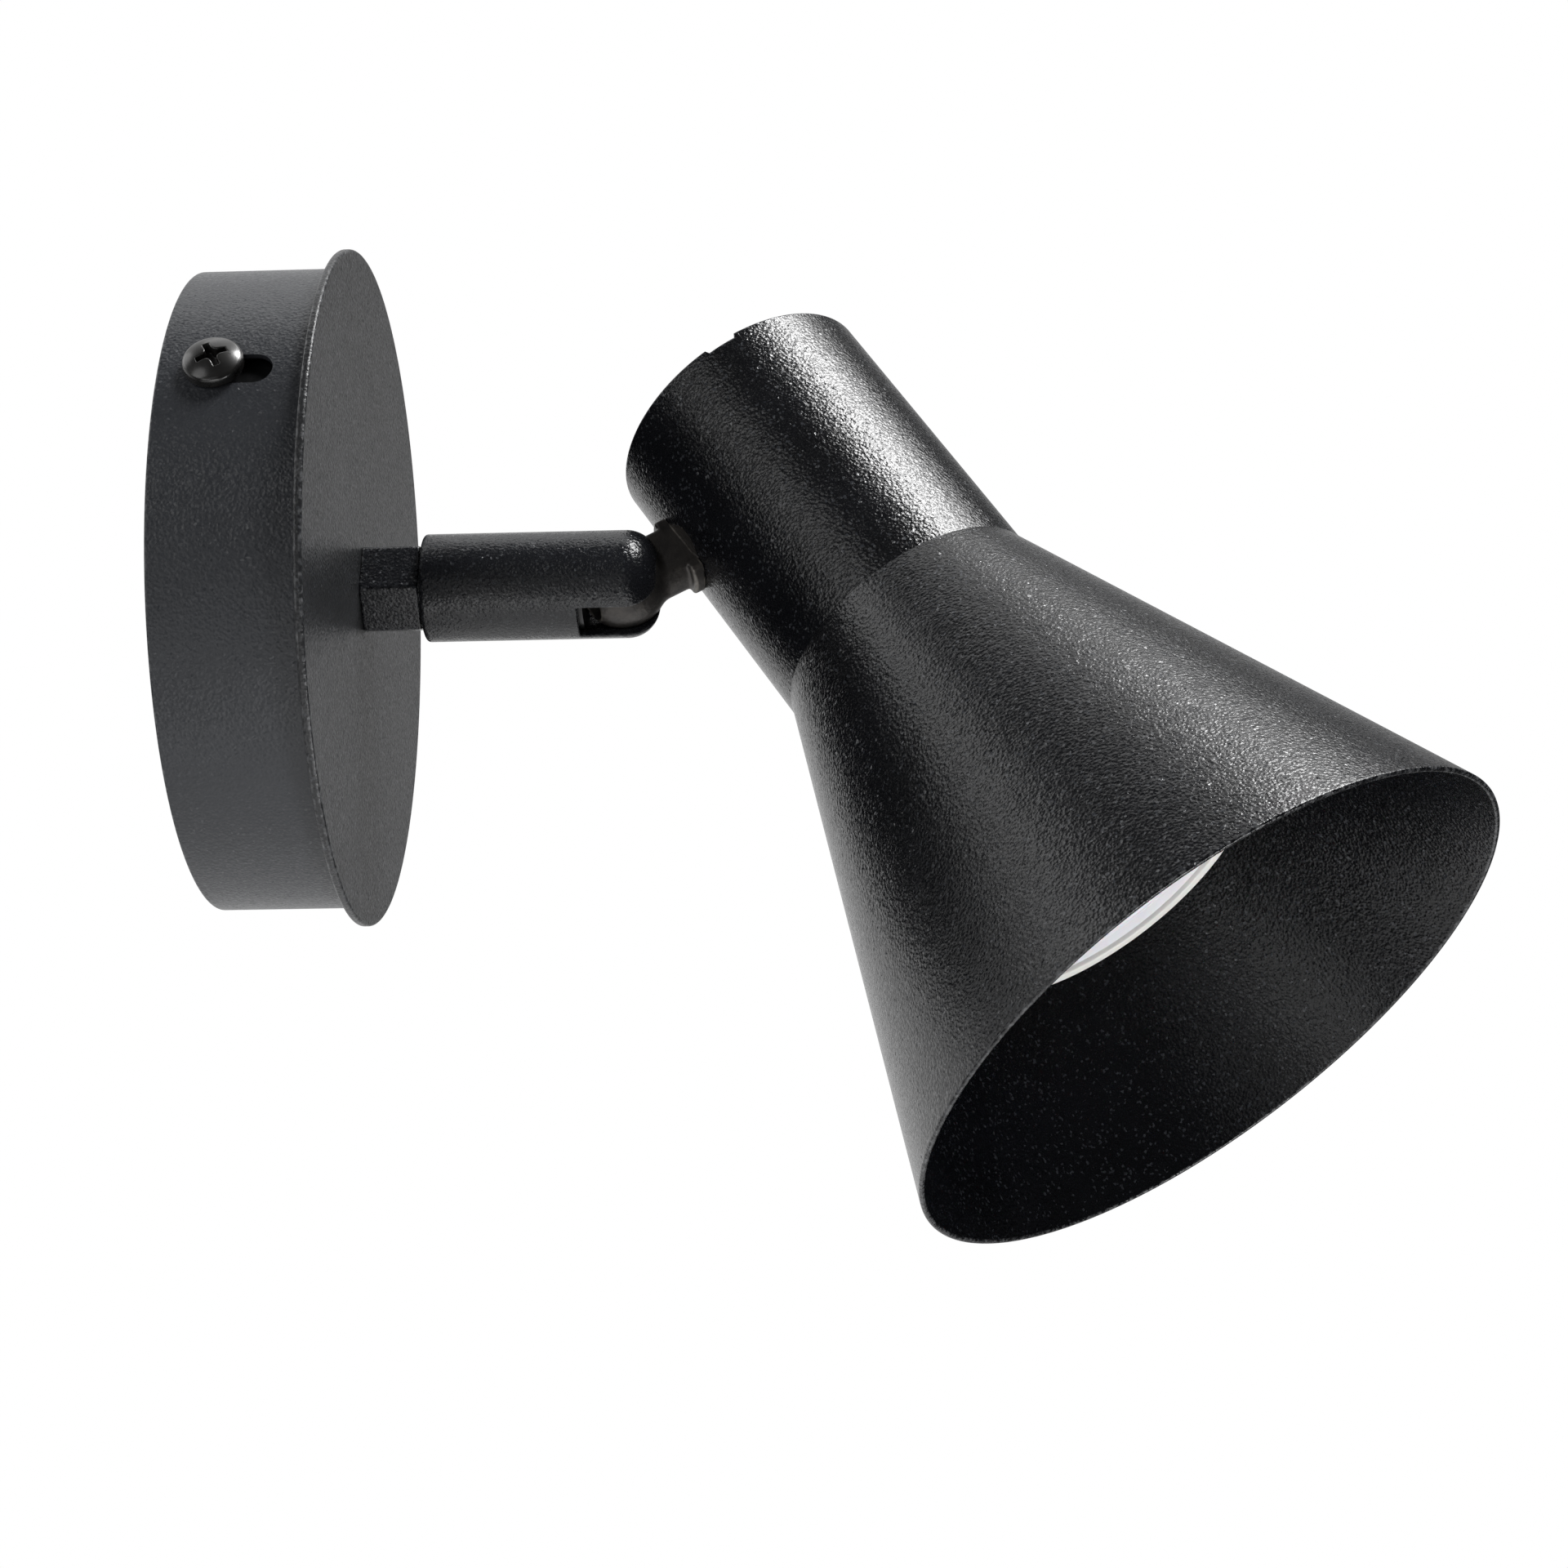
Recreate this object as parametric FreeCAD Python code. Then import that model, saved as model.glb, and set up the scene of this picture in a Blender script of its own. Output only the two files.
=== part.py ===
import FreeCAD, Part
import math
import os

# Pivoting spotlight wall light with a round canopy, a swivel barrel and a flared shade.
# Millimetres. Wall plane at Y = 0, room on the -Y side, +Z up.
# Origin at the middle of the canopy's back. The arm runs out along -Y.

Vec = FreeCAD.Vector
ORIGIN = Vec(0, 0, 0)
AXIS_X = Vec(1, 0, 0)
AXIS_Y = Vec(0, 1, 0)
AXIS_Z = Vec(0, 0, 1)
HALF = 0.5
FULL_TURN = 360.0
HEX_SIDES = 6
WELD = 0.5
CUT_OVER = 1.0

# Named clearances
RUN_FIT = 0.05
MOVE_GAP = 0.3
HOLE_GAP = 0.1

# Canopy
PLATE_D = 100.0
PLATE_T = 1.2
PLATE_FRONT = 22.0
DRUM_D = 94.5
SHEET_T = 0.8
LIP_W = 6.0
EAR_ANGLE = 37.8
SLOT_W = 4.4
SLOT_BACK = 5.7
SLOT_FRONT = 15.6

# Canopy screws, M4 pan head
M4_R = 2.0
PAN_HEAD_R = 4.25
PAN_HEAD_H = 2.6
CANOPY_SCREW_Y = 7.9
CANOPY_SCREW_LEN = 8.0
CROSS_ARM = 2.4
CROSS_W = 0.8
CROSS_DEPTH = 1.6

# Mounting bracket
BRACKET_T = 1.5
BRACKET_W = 16.0
EAR_H = 13.0
EAR_GAP = 0.2
BEND_R = 2.5
CABLE_HOLE_R = 6.0
WALL_HOLE_X = 26.0
WALL_HOLE_R = 2.4
TERMINAL_LUG_W = 26.0
TERMINAL_LUG_END = 26.0
EARTH_LUG_W = 14.0
EARTH_LUG_END = 24.0
EARTH_Z = 17.0
BOSS_R = 4.2
BOSS_H = 3.0

# Terminal block
BLOCK_W = 25.0
BLOCK_D = 15.5
BLOCK_Z = 9.5
BLOCK_BASE_H = 8.5
BLOCK_PITCH = 8.2
TOWER_R = 3.4
TOWER_H = 4.5
WIRE_BORE_R = 1.7
WIRE_BORE_Y = 5.6
M3_R = 1.5
M3_HEAD_R = 2.7
M3_HEAD_H = 1.8
DRIVER_SLOT_W = 0.6
DRIVER_SLOT_DEPTH = 0.8

# Arm root: hexagon, spigot and its fixings
HEX_AF = 12.3
HEX_END = 30.6
HEX_CORNER_ANGLE = 1.6
THREAD_R = 5.0
ROOT_THREAD_IN = 11.0
WIREWAY_R = 3.2
SPIGOT_END = 41.5
RING_Y = 39.3
RING_T = 1.0
RING_GROOVE_R = 4.2
RING_OUT_R = 6.1
RING_MOUTH_ANGLE = 40.0
RING_MOUTH_AT = 270.0
LOCK_WASHER_R = 9.0
LOCK_WASHER_T = 0.8
LOCK_NUT_AF = 14.0
LOCK_NUT_H = 3.5
STOP_ANGLE = 16.0
STOP_Y = 31.2
STOP_LEN = 2.0
STOP_R = 6.2
ROOT_STOP_AT = 90.0
BUSH_STOP_AT = 270.0

# Barrel and what it houses
BARREL_R = 8.0
BARREL_BACK = 30.9
BARREL_TIP = 65.6
BARREL_EDGE_R = 0.6
DOME_R = 4.8
BALL_R = 6.6
PIVOT_Y = 60.2
BARREL_SLOT_W = 6.2
BARREL_SLOT_BACK = 54.0
BUSH_FRONT = 39.0
SEAT_BACK = 43.5
SEAT_T = 1.0
CUP_BACK = 50.5
CUP_FRONT = 54.6
CUP_HOLE_R = 3.8
SPRING_WIRE_R = 0.5
SPRING_R = 5.4
SPRING_TURNS = 3.0

# Knuckle: ball, flatted neck, flange and threaded tail
NECK_R = 5.0
NECK_FLATS = 5.6
FLANGE_R = 6.25
FLANGE_T = 1.8
KNUCKLE_BORE_R = 2.0
FUNNEL_R = 3.7

# Shade
SHADE_R = 20.95
SHADE_T = 0.8
STEM_LEN = 10.59
STEM_TO_SHADE_AXIS = SHADE_R + STEM_LEN
CYL_LEN = 47.35
STEM_FROM_BACK = 17.41
CREASE_DROP = CYL_LEN - STEM_FROM_BACK
CONE_LEN = 75.75
MOUTH_R = 48.15
NOTCH_W = 5.0
NOTCH_DEPTH = 0.7
NOTCH_ANGLE = 169.0
CAP_INSET = 1.0
CAP_T = 0.8
CAP_SKIRT = 4.5
CAP_CORNER_R = 0.7

# Head fixings inside the shade
SADDLE_R = 7.0
SADDLE_T = 1.55
TAB_PLANE = SHADE_R - SHADE_T - SADDLE_T
STRAP_T = 1.2
TAB_W = 14.0
TAB_BACK = 7.5
FOOT_Z = 8.0
FOOT_W = 20.0
FOOT_FAR = 13.0
TAB_WASHER_R = 7.3
TAB_WASHER_T = 0.8
TAB_NUT_AF = 13.0
TAB_NUT_H = 3.0
TAIL_PROUD = 0.46
TAB_STACK = STRAP_T + TAB_WASHER_T + TAB_NUT_H
TAIL_END = STEM_TO_SHADE_AXIS - TAB_PLANE + TAB_STACK + TAIL_PROUD

# Lampholder and lamp; stations q run from the shade's crease towards its mouth
HOLDER_R = 13.5
HOLDER_LEN = 15.34
HOLDER_BACK_Q = FOOT_Z + STRAP_T - CREASE_DROP
HOLDER_FRONT_Q = HOLDER_BACK_Q + HOLDER_LEN
HOLDER_SKIN = 2.8
HOLDER_SCREW_X = 9.6
HOLDER_SCREW_LEN = 17.0
HOLDER_BORE_R = 3.2
CHANNEL_R = 3.0
CHANNEL_DEPTH = 9.0
NECK_SLOT_R = 1.9
PIN_R = 5.0
PIN_NECK_R = 1.5
PIN_HEAD_R = 2.5
PIN_HEAD_LEN = 3.0
PIN_ROOT = 3.0
TWIST_ANGLE = 20.0
LAMP_SEAT_GAP = 0.4
LAMP_LEN = 53.5
LAMP_BASE_Q = HOLDER_FRONT_Q + LAMP_SEAT_GAP
LAMP_FRONT_Q = LAMP_BASE_Q + LAMP_LEN
LAMP_BASE_R = 9.0
LAMP_RIM_R = 25.0
LAMP_RIM_H = 5.0
LAMP_WALL = 1.6
LAMP_NECK_R = 10.5
LAMP_NECK_LEN = 9.5
LAMP_CUP_R = 13.0
LAMP_CUP_LEN = 17.0
LENS_RECESS = 0.6
LENS_T = 1.6
LENS_R = 22.9

# Pose shown at rest, in degrees
TILT_ANGLE = 32.7
PAN_ANGLE = 37.8
SHADE_TURN_ANGLE = 5.6


def turned(shape, axis, angle, about=ORIGIN):
    copy = shape.copy()
    copy.rotate(about, axis, angle)
    return copy


def moved(shape, offset):
    copy = shape.copy()
    copy.translate(offset)
    return copy


def rod_y(radius, near, far, x=0.0, z=0.0):
    """Cylinder along the arm from depth near to depth far in front of the wall."""
    return Part.makeCylinder(radius, far - near, Vec(x, -near, z), Vec(0, -1, 0))


def rod_x(radius, low, high, y=0.0, z=0.0):
    return Part.makeCylinder(radius, high - low, Vec(low, y, z), AXIS_X)


def rod_z(radius, low, high, x=0.0, y=0.0):
    return Part.makeCylinder(radius, high - low, Vec(x, y, low), AXIS_Z)


def block(x0, x1, y0, y1, z0, z1):
    return Part.makeBox(x1 - x0, y1 - y0, z1 - z0, Vec(x0, y0, z0))


def hexagon_y(across, near, far, angle=0.0):
    """Hexagonal bar along the arm with one corner on -X, raised by angle."""
    corner = across / math.sqrt(3.0)
    points = []
    for k in range(HEX_SIDES + 1):
        turn = math.radians(k * FULL_TURN / HEX_SIDES + angle)
        points.append(Vec(-corner * math.cos(turn), -near, corner * math.sin(turn)))
    face = Part.Face(Part.makePolygon(points))
    return face.extrude(Vec(0, near - far, 0))


def lathe(points, axis):
    face = Part.Face(Part.makePolygon(points + [points[0]]))
    return face.revolve(ORIGIN, axis, FULL_TURN)


def sector_y(inner, outer, near, far, middle, arc):
    """Ring segment along the arm, centred on an angle measured from +X towards +Z."""
    ring = rod_y(outer, near, far).cut(rod_y(inner, near, far))
    return ring.common(wedge_y(middle, arc, near, far, 2 * outer))


def wedge_y(middle, arc, near, far, reach):
    """Pie slice about the arm, with straight sides that reach past what it cuts."""
    points = [Vec(0, -near, 0)]
    for angle in (middle - arc * HALF, middle + arc * HALF):
        turn = math.radians(angle)
        points.append(Vec(reach * math.cos(turn), -near, reach * math.sin(turn)))
    face = Part.Face(Part.makePolygon(points + [points[0]]))
    return face.extrude(Vec(0, near - far, 0))


# ---- canopy ----

def to_ears(shape):
    """Turn a piece drawn with its left ear on -X to the angle of the side screws."""
    return turned(shape, AXIS_Y, EAR_ANGLE)


def canopy_drum():
    outer = DRUM_D * HALF
    depth = PLATE_FRONT - PLATE_T
    drum = rod_y(outer, 0, depth).cut(rod_y(outer - SHEET_T, 0, depth - SHEET_T))
    drum = drum.cut(rod_y(outer - LIP_W, 0, depth))
    slot = to_ears(side_slot(outer + CUT_OVER).fuse(side_slot(-outer - CUT_OVER)))
    return drum.cut(slot)


def side_slot(reach):
    """Axial slot with round ends that lets a side screw slide."""
    half = SLOT_W * HALF
    ends = [SLOT_BACK + half, SLOT_FRONT - half]
    low = min(0, reach)
    high = max(0, reach)
    slot = block(low, high, -ends[1], -ends[0], -half, half)
    for depth in ends:
        slot = slot.fuse(rod_x(half, low, high, -depth))
    return slot


def faceplate():
    back = PLATE_FRONT - PLATE_T
    plate = rod_y(PLATE_D * HALF, back, PLATE_FRONT)
    return plate.cut(rod_y(THREAD_R + HOLE_GAP, back, PLATE_FRONT))


def ear_face():
    """Distance from the middle to an ear's outer face, its corners clear of the drum."""
    inner = DRUM_D * HALF - SHEET_T
    return math.sqrt(inner ** 2 - (BRACKET_W * HALF) ** 2) - EAR_GAP


def mounting_bracket():
    reach = ear_face()
    half = BRACKET_W * HALF
    outside = block(-reach, reach, -EAR_H, 0, -half, half)
    long_edges = [e for e in outside.Edges if is_bend_edge(e, reach)]
    outside = outside.makeFillet(BEND_R, long_edges)
    hollow = block(-reach + BRACKET_T, reach - BRACKET_T, -EAR_H, -BRACKET_T, -half, half)
    strap = outside.cut(hollow)
    lug_half = TERMINAL_LUG_W * HALF
    strap = strap.fuse(block(-lug_half, lug_half, -BRACKET_T, 0, 0, TERMINAL_LUG_END))
    earth_half = EARTH_LUG_W * HALF
    strap = strap.fuse(block(-earth_half, earth_half, -BRACKET_T, 0, -EARTH_LUG_END, 0))
    strap = strap.fuse(rod_y(BOSS_R, BRACKET_T, BRACKET_T + BOSS_H, 0, -EARTH_Z))
    strap = strap.cut(rod_y(CABLE_HOLE_R, 0, BRACKET_T))
    for side in (-1, 1):
        strap = strap.cut(rod_y(WALL_HOLE_R, 0, BRACKET_T, side * WALL_HOLE_X))
    strap = strap.cut(rod_x(M4_R, -reach, reach, -CANOPY_SCREW_Y))
    strap = strap.cut(rod_y(M4_R, SHEET_T, BRACKET_T + BOSS_H, 0, -EARTH_Z))
    strap = strap.cut(rod_y(M3_R, 0, BRACKET_T, block_screw_x(), block_screw_z()))
    return to_ears(strap.removeSplitter())


def is_bend_edge(edge, reach):
    middle = edge.BoundBox.Center
    return abs(middle.y) < HALF and abs(abs(middle.x) - reach) < HALF and edge.Length > EAR_H


def pan_head_x(head_r, head_h, shank_r, shank_len):
    """Domed cross-head screw along +X, its seat at X = 0 and the head on the -X side."""
    dome_r = (head_r ** 2 + head_h ** 2) / (2 * head_h)
    dome = Part.makeSphere(dome_r, Vec(dome_r - head_h, 0, 0))
    head = rod_x(head_r, -head_h, 0).common(dome)
    head = head.fuse(rod_x(shank_r, 0, shank_len))
    return head.cut(cross_recess_x(-head_h))


def cross_recess_x(top):
    half = CROSS_W * HALF
    deep = top + CROSS_DEPTH
    one = block(top, deep, -CROSS_ARM, CROSS_ARM, -half, half)
    other = block(top, deep, -half, half, -CROSS_ARM, CROSS_ARM)
    return one.fuse(other)


def canopy_screw(side):
    """Side screw whose head bears on the drum behind its slot."""
    seat = DRUM_D * HALF
    screw = pan_head_x(PAN_HEAD_R, PAN_HEAD_H, M4_R, CANOPY_SCREW_LEN)
    screw = moved(screw, Vec(-seat, -CANOPY_SCREW_Y, 0))
    if side > 0:
        screw = turned(screw, AXIS_Y, FULL_TURN * HALF)
    return to_ears(screw)


def block_screw_x():
    return BLOCK_PITCH * HALF


def block_screw_z():
    return BLOCK_Z + BLOCK_D * HALF


def terminal_block():
    back = BRACKET_T
    half = BLOCK_W * HALF
    front = back + BLOCK_BASE_H
    middle = block_screw_z()
    body = block(-half, half, -front, -back, BLOCK_Z, BLOCK_Z + BLOCK_D)
    for k in (-1, 0, 1):
        x = k * BLOCK_PITCH
        body = body.fuse(rod_y(TOWER_R, front, front + TOWER_H, x, middle))
        body = body.cut(rod_y(M3_R, back + WIRE_BORE_Y, front + TOWER_H, x, middle))
        body = body.cut(rod_y(M3_HEAD_R, front, front + TOWER_H, x, middle))
        body = body.cut(rod_z(WIRE_BORE_R, BLOCK_Z, BLOCK_Z + BLOCK_D, x, -back - WIRE_BORE_Y + M3_R))
    body = body.cut(rod_y(M3_R, back, front, block_screw_x(), middle))
    head_floor = front - M3_HEAD_H
    body = body.cut(rod_y(M3_HEAD_R * HALF + M3_R * HALF, head_floor, front, block_screw_x(), middle))
    return to_ears(body.removeSplitter())


def slotted_screw_y(head_r, head_h, shank_r, shank_len):
    """Slotted screw along the arm: head towards the room, seat at Y = 0."""
    screw = rod_y(head_r, 0, head_h).fuse(rod_y(shank_r, -shank_len, 0))
    half = DRIVER_SLOT_W * HALF
    floor = head_h - DRIVER_SLOT_DEPTH
    return screw.cut(block(-head_r, head_r, -head_h, -floor, -half, half))


def terminal_screw(k):
    seat = BRACKET_T + BLOCK_BASE_H
    screw = slotted_screw_y(M3_HEAD_R, M3_HEAD_H, M3_R, BLOCK_BASE_H - WIRE_BORE_Y)
    return to_ears(moved(screw, Vec(k * BLOCK_PITCH, -seat, block_screw_z())))


def terminal_fixing_screw():
    head_r = M3_HEAD_R * HALF + M3_R * HALF
    seat = BRACKET_T + BLOCK_BASE_H - M3_HEAD_H
    screw = slotted_screw_y(head_r, M3_HEAD_H, M3_R, seat - MOVE_GAP)
    return to_ears(moved(screw, Vec(block_screw_x(), -seat, block_screw_z())))


def earth_washer():
    seat = BRACKET_T + BOSS_H
    ring = rod_y(BOSS_R, seat, seat + LOCK_WASHER_T, 0, -EARTH_Z)
    return to_ears(ring.cut(rod_y(M4_R, seat, seat + LOCK_WASHER_T, 0, -EARTH_Z)))


def earth_screw():
    seat = BRACKET_T + BOSS_H + LOCK_WASHER_T
    screw = pan_head_x(PAN_HEAD_R, PAN_HEAD_H, M4_R, seat - SHEET_T - MOVE_GAP)
    screw = turned(screw, AXIS_Z, FULL_TURN / 4)
    return to_ears(moved(screw, Vec(0, -seat, -EARTH_Z)))


# ---- arm root ----

def arm_root():
    """Hexagon against the plate, threaded tail behind it and spigot in front of it."""
    root = hexagon_y(HEX_AF, PLATE_FRONT, HEX_END, HEX_CORNER_ANGLE)
    root = root.fuse(rod_y(THREAD_R, ROOT_THREAD_IN, PLATE_FRONT))
    root = root.fuse(rod_y(THREAD_R, HEX_END, SPIGOT_END))
    root = root.fuse(sector_y(THREAD_R - WELD, STOP_R, HEX_END, STOP_Y + STOP_LEN, ROOT_STOP_AT, STOP_ANGLE))
    groove = rod_y(RING_OUT_R, RING_Y, RING_Y + RING_T)
    root = root.cut(groove.cut(rod_y(RING_GROOVE_R, RING_Y, RING_Y + RING_T)))
    return root.cut(rod_y(WIREWAY_R, ROOT_THREAD_IN, SPIGOT_END)).removeSplitter()


def root_lock_washer():
    front = PLATE_FRONT - PLATE_T
    ring = rod_y(LOCK_WASHER_R, front - LOCK_WASHER_T, front)
    return ring.cut(rod_y(THREAD_R, front - LOCK_WASHER_T, front))


def root_lock_nut():
    front = PLATE_FRONT - PLATE_T - LOCK_WASHER_T
    nut = hexagon_y(LOCK_NUT_AF, front - LOCK_NUT_H, front)
    return nut.cut(rod_y(THREAD_R, front - LOCK_NUT_H, front))


def retaining_ring():
    ring = rod_y(RING_OUT_R, RING_Y, RING_Y + RING_T)
    ring = ring.cut(rod_y(RING_GROOVE_R, RING_Y, RING_Y + RING_T))
    mouth = wedge_y(RING_MOUTH_AT, RING_MOUTH_ANGLE, RING_Y, RING_Y + RING_T, 2 * RING_OUT_R)
    return ring.cut(mouth)


# ---- barrel: drawn with its slot upright, then turned to the rest pan ----

def panned(shape):
    return turned(shape, AXIS_Y, PAN_ANGLE)


def bore_r():
    return BALL_R + RUN_FIT


def domed_bar():
    shoulder = Vec(BARREL_R, -BARREL_TIP + DOME_R, 0)
    crown = Vec(BARREL_R - DOME_R, -BARREL_TIP, 0)
    bulge = DOME_R * math.sqrt(HALF)
    through = Vec(BARREL_R - DOME_R + bulge, -BARREL_TIP + DOME_R - bulge, 0)
    back_low = Vec(0, -BARREL_BACK, 0)
    back_in = Vec(BARREL_R - BARREL_EDGE_R, -BARREL_BACK, 0)
    back_out = Vec(BARREL_R, -BARREL_BACK - BARREL_EDGE_R, 0)
    tip = Vec(0, -BARREL_TIP, 0)
    edges = [Part.makeLine(back_low, back_in), Part.makeLine(back_in, back_out)]
    edges.append(Part.makeLine(back_out, shoulder))
    edges.append(Part.Arc(shoulder, through, crown).toShape())
    edges += [Part.makeLine(crown, tip), Part.makeLine(tip, back_low)]
    face = Part.Face(Part.Wire(edges))
    return face.revolve(ORIGIN, AXIS_Y, FULL_TURN)


def barrel():
    """Turned tube with a ball socket at its nose, slotted across for the knuckle's neck."""
    shell = domed_bar().cut(rod_y(bore_r(), BARREL_BACK, PIVOT_Y))
    shell = shell.cut(Part.makeSphere(bore_r(), Vec(0, -PIVOT_Y, 0)))
    half = BARREL_SLOT_W * HALF
    wide = BARREL_R + CUT_OVER
    slot = block(-half, half, -BARREL_TIP - CUT_OVER, -BARREL_SLOT_BACK, -wide, wide)
    return panned(shell.cut(slot))


def barrel_bush():
    """Bearing bush pressed into the barrel, with the dog of the pan stop on its back face."""
    back = STOP_Y + STOP_LEN + MOVE_GAP
    bush = rod_y(bore_r(), back, BUSH_FRONT)
    dog = sector_y(THREAD_R, bore_r(), STOP_Y, back + WELD, BUSH_STOP_AT, STOP_ANGLE)
    return bush.fuse(dog).cut(rod_y(THREAD_R + RUN_FIT, STOP_Y, BUSH_FRONT)).removeSplitter()


def spring_seat():
    ring = rod_y(bore_r(), SEAT_BACK, SEAT_BACK + SEAT_T)
    return ring.cut(rod_y(CUP_HOLE_R, SEAT_BACK, SEAT_BACK + SEAT_T))


def friction_spring():
    start = SEAT_BACK + SEAT_T + SPRING_WIRE_R
    rise = CUP_BACK - SPRING_WIRE_R - start
    helix = Part.makeHelix(rise / SPRING_TURNS, rise, SPRING_R)
    profile = Part.Wire(Part.makeCircle(SPRING_WIRE_R, Vec(SPRING_R, 0, 0), AXIS_Y))
    coil = Part.Wire(helix).makePipeShell([profile], True, True)
    coil = turned(coil, AXIS_X, FULL_TURN / 4)
    return moved(coil, Vec(0, -start, 0))


def friction_cup():
    """Cup that the spring presses against the back of the ball."""
    cup = rod_y(bore_r() - RUN_FIT, CUP_BACK, CUP_FRONT)
    cup = cup.cut(Part.makeSphere(bore_r(), Vec(0, -PIVOT_Y, 0)))
    return cup.cut(rod_y(CUP_HOLE_R, CUP_BACK, CUP_FRONT))


# ---- head: drawn about the pivot with the stem on -Y and the shade hanging along -Z ----

def posed_stem(shape):
    copy = turned(shape, AXIS_X, -TILT_ANGLE)
    copy = turned(copy, AXIS_Y, PAN_ANGLE)
    return moved(copy, Vec(0, -PIVOT_Y, 0))


def posed_head(shape):
    return posed_stem(turned(shape, AXIS_Y, -SHADE_TURN_ANGLE))


def along_shade(q):
    """Height of a station q, counted from the crease towards the mouth."""
    return -CREASE_DROP - q


def shade_rod(radius, q_low, q_high, x=0.0, y=0.0):
    low = along_shade(q_high)
    high = along_shade(q_low)
    return rod_z(radius, low, high, x, y - STEM_TO_SHADE_AXIS)


def shade_lathe(profile):
    """Solid of revolution about the shade's axis from (radius, station) pairs."""
    points = [Vec(r, 0, along_shade(q)) for r, q in profile]
    return moved(lathe(points, AXIS_Z), Vec(0, -STEM_TO_SHADE_AXIS, 0))


def knuckle():
    """Ball, flatted neck, flange saddled to the shade, and threaded tail."""
    flange_back = STEM_TO_SHADE_AXIS - SHADE_R - FLANGE_T
    neck = rod_y(NECK_R, 0, flange_back).fuse(rod_y(FLANGE_R, flange_back, STEM_TO_SHADE_AXIS))
    shade_bar = turned(shade_rod(SHADE_R, -CYL_LEN, 0), AXIS_Y, -SHADE_TURN_ANGLE)
    neck = neck.cut(shade_bar)
    flat = NECK_FLATS * HALF
    far = STEM_TO_SHADE_AXIS
    neck = neck.common(block(-flat, flat, -far, 0, -FLANGE_R, FLANGE_R))
    body = Part.makeSphere(BALL_R).fuse(neck)
    body = body.fuse(rod_y(THREAD_R, flange_back, TAIL_END).common(shade_bar))
    body = body.cut(rod_y(KNUCKLE_BORE_R, -BALL_R, TAIL_END))
    funnel = Part.makeCone(FUNNEL_R, KNUCKLE_BORE_R, BALL_R * HALF, Vec(0, BALL_R, 0), Vec(0, -1, 0))
    body = body.cut(funnel)
    return posed_stem(body.removeSplitter())


def shade_slope():
    return (MOUTH_R - SHADE_R) / CONE_LEN


def shade_sleeve():
    """Straight tube at the back of the shade, bored for the knuckle's tail."""
    inner = SHADE_R - SHADE_T
    profile = [(SHADE_R, -CYL_LEN), (SHADE_R, 0), (inner, 0), (inner, -CYL_LEN)]
    skin = shade_lathe(profile)
    skin = skin.cut(rod_y(THREAD_R + HOLE_GAP, 0, STEM_TO_SHADE_AXIS - HALF * SHADE_R))
    return posed_head(skin.cut(rear_notch()))


def shade_cone():
    """Flared front of the shade, welded to the sleeve at the crease."""
    thick = SHADE_T * math.sqrt(1 + shade_slope() ** 2)
    inner = SHADE_R - SHADE_T
    bend = (thick - SHADE_T) / shade_slope()
    profile = [(SHADE_R, 0), (MOUTH_R, CONE_LEN), (MOUTH_R - thick, CONE_LEN)]
    profile += [(inner, bend), (inner, 0)]
    return posed_head(shade_lathe(profile))


def rear_notch():
    """Shallow cut in the shade's back edge."""
    top = along_shade(-CYL_LEN)
    half = NOTCH_W * HALF
    low = SHADE_R - SHADE_T - CUT_OVER
    cut = block(low, SHADE_R + CUT_OVER, -half, half, top - NOTCH_DEPTH, top + CUT_OVER)
    return moved(turned(cut, AXIS_Z, NOTCH_ANGLE), Vec(0, -STEM_TO_SHADE_AXIS, 0))


def rear_cap():
    """Pressed cap that closes the shade's back end."""
    outer = SHADE_R - SHADE_T
    face_q = CAP_INSET - CYL_LEN
    end_q = face_q + CAP_SKIRT
    profile = [(0, face_q), (outer - CAP_CORNER_R, face_q), (outer, face_q + CAP_CORNER_R)]
    profile += [(outer, end_q), (outer - CAP_T, end_q), (outer - CAP_T, face_q + CAP_T), (0, face_q + CAP_T)]
    return posed_head(shade_lathe(profile))


def saddle_washer():
    """Washer curved to the shade's inside, flat towards the strap."""
    ring = rod_y(SADDLE_R, 0, STEM_TO_SHADE_AXIS - TAB_PLANE)
    ring = ring.common(shade_rod(SHADE_R - SHADE_T, -CYL_LEN, 0))
    return posed_head(ring.cut(rod_y(THREAD_R, 0, STEM_TO_SHADE_AXIS)))


def lampholder_strap():
    """Angle strap: one leg clamped on the knuckle's tail, the other carries the lampholder."""
    face = STEM_TO_SHADE_AXIS - TAB_PLANE
    half = TAB_W * HALF
    tab = block(-half, half, -face - STRAP_T, -face, -FOOT_Z - STRAP_T, TAB_BACK)
    foot_half = FOOT_W * HALF
    bend_end = face + FOOT_W * HALF
    far = STEM_TO_SHADE_AXIS + FOOT_FAR
    foot = block(-half, half, -bend_end, -face, -FOOT_Z - STRAP_T, -FOOT_Z)
    foot = foot.fuse(block(-foot_half, foot_half, -far, -bend_end, -FOOT_Z - STRAP_T, -FOOT_Z))
    strap = tab.fuse(foot)
    strap = strap.cut(rod_y(THREAD_R, face, face + STRAP_T))
    for side in (-1, 1):
        x = side * HOLDER_SCREW_X
        strap = strap.cut(rod_z(M3_R, -FOOT_Z - STRAP_T, -FOOT_Z, x, -STEM_TO_SHADE_AXIS))
    strap = strap.cut(rod_z(HOLDER_BORE_R, -FOOT_Z - STRAP_T, -FOOT_Z, 0, -STEM_TO_SHADE_AXIS))
    return posed_head(strap.removeSplitter())


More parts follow.
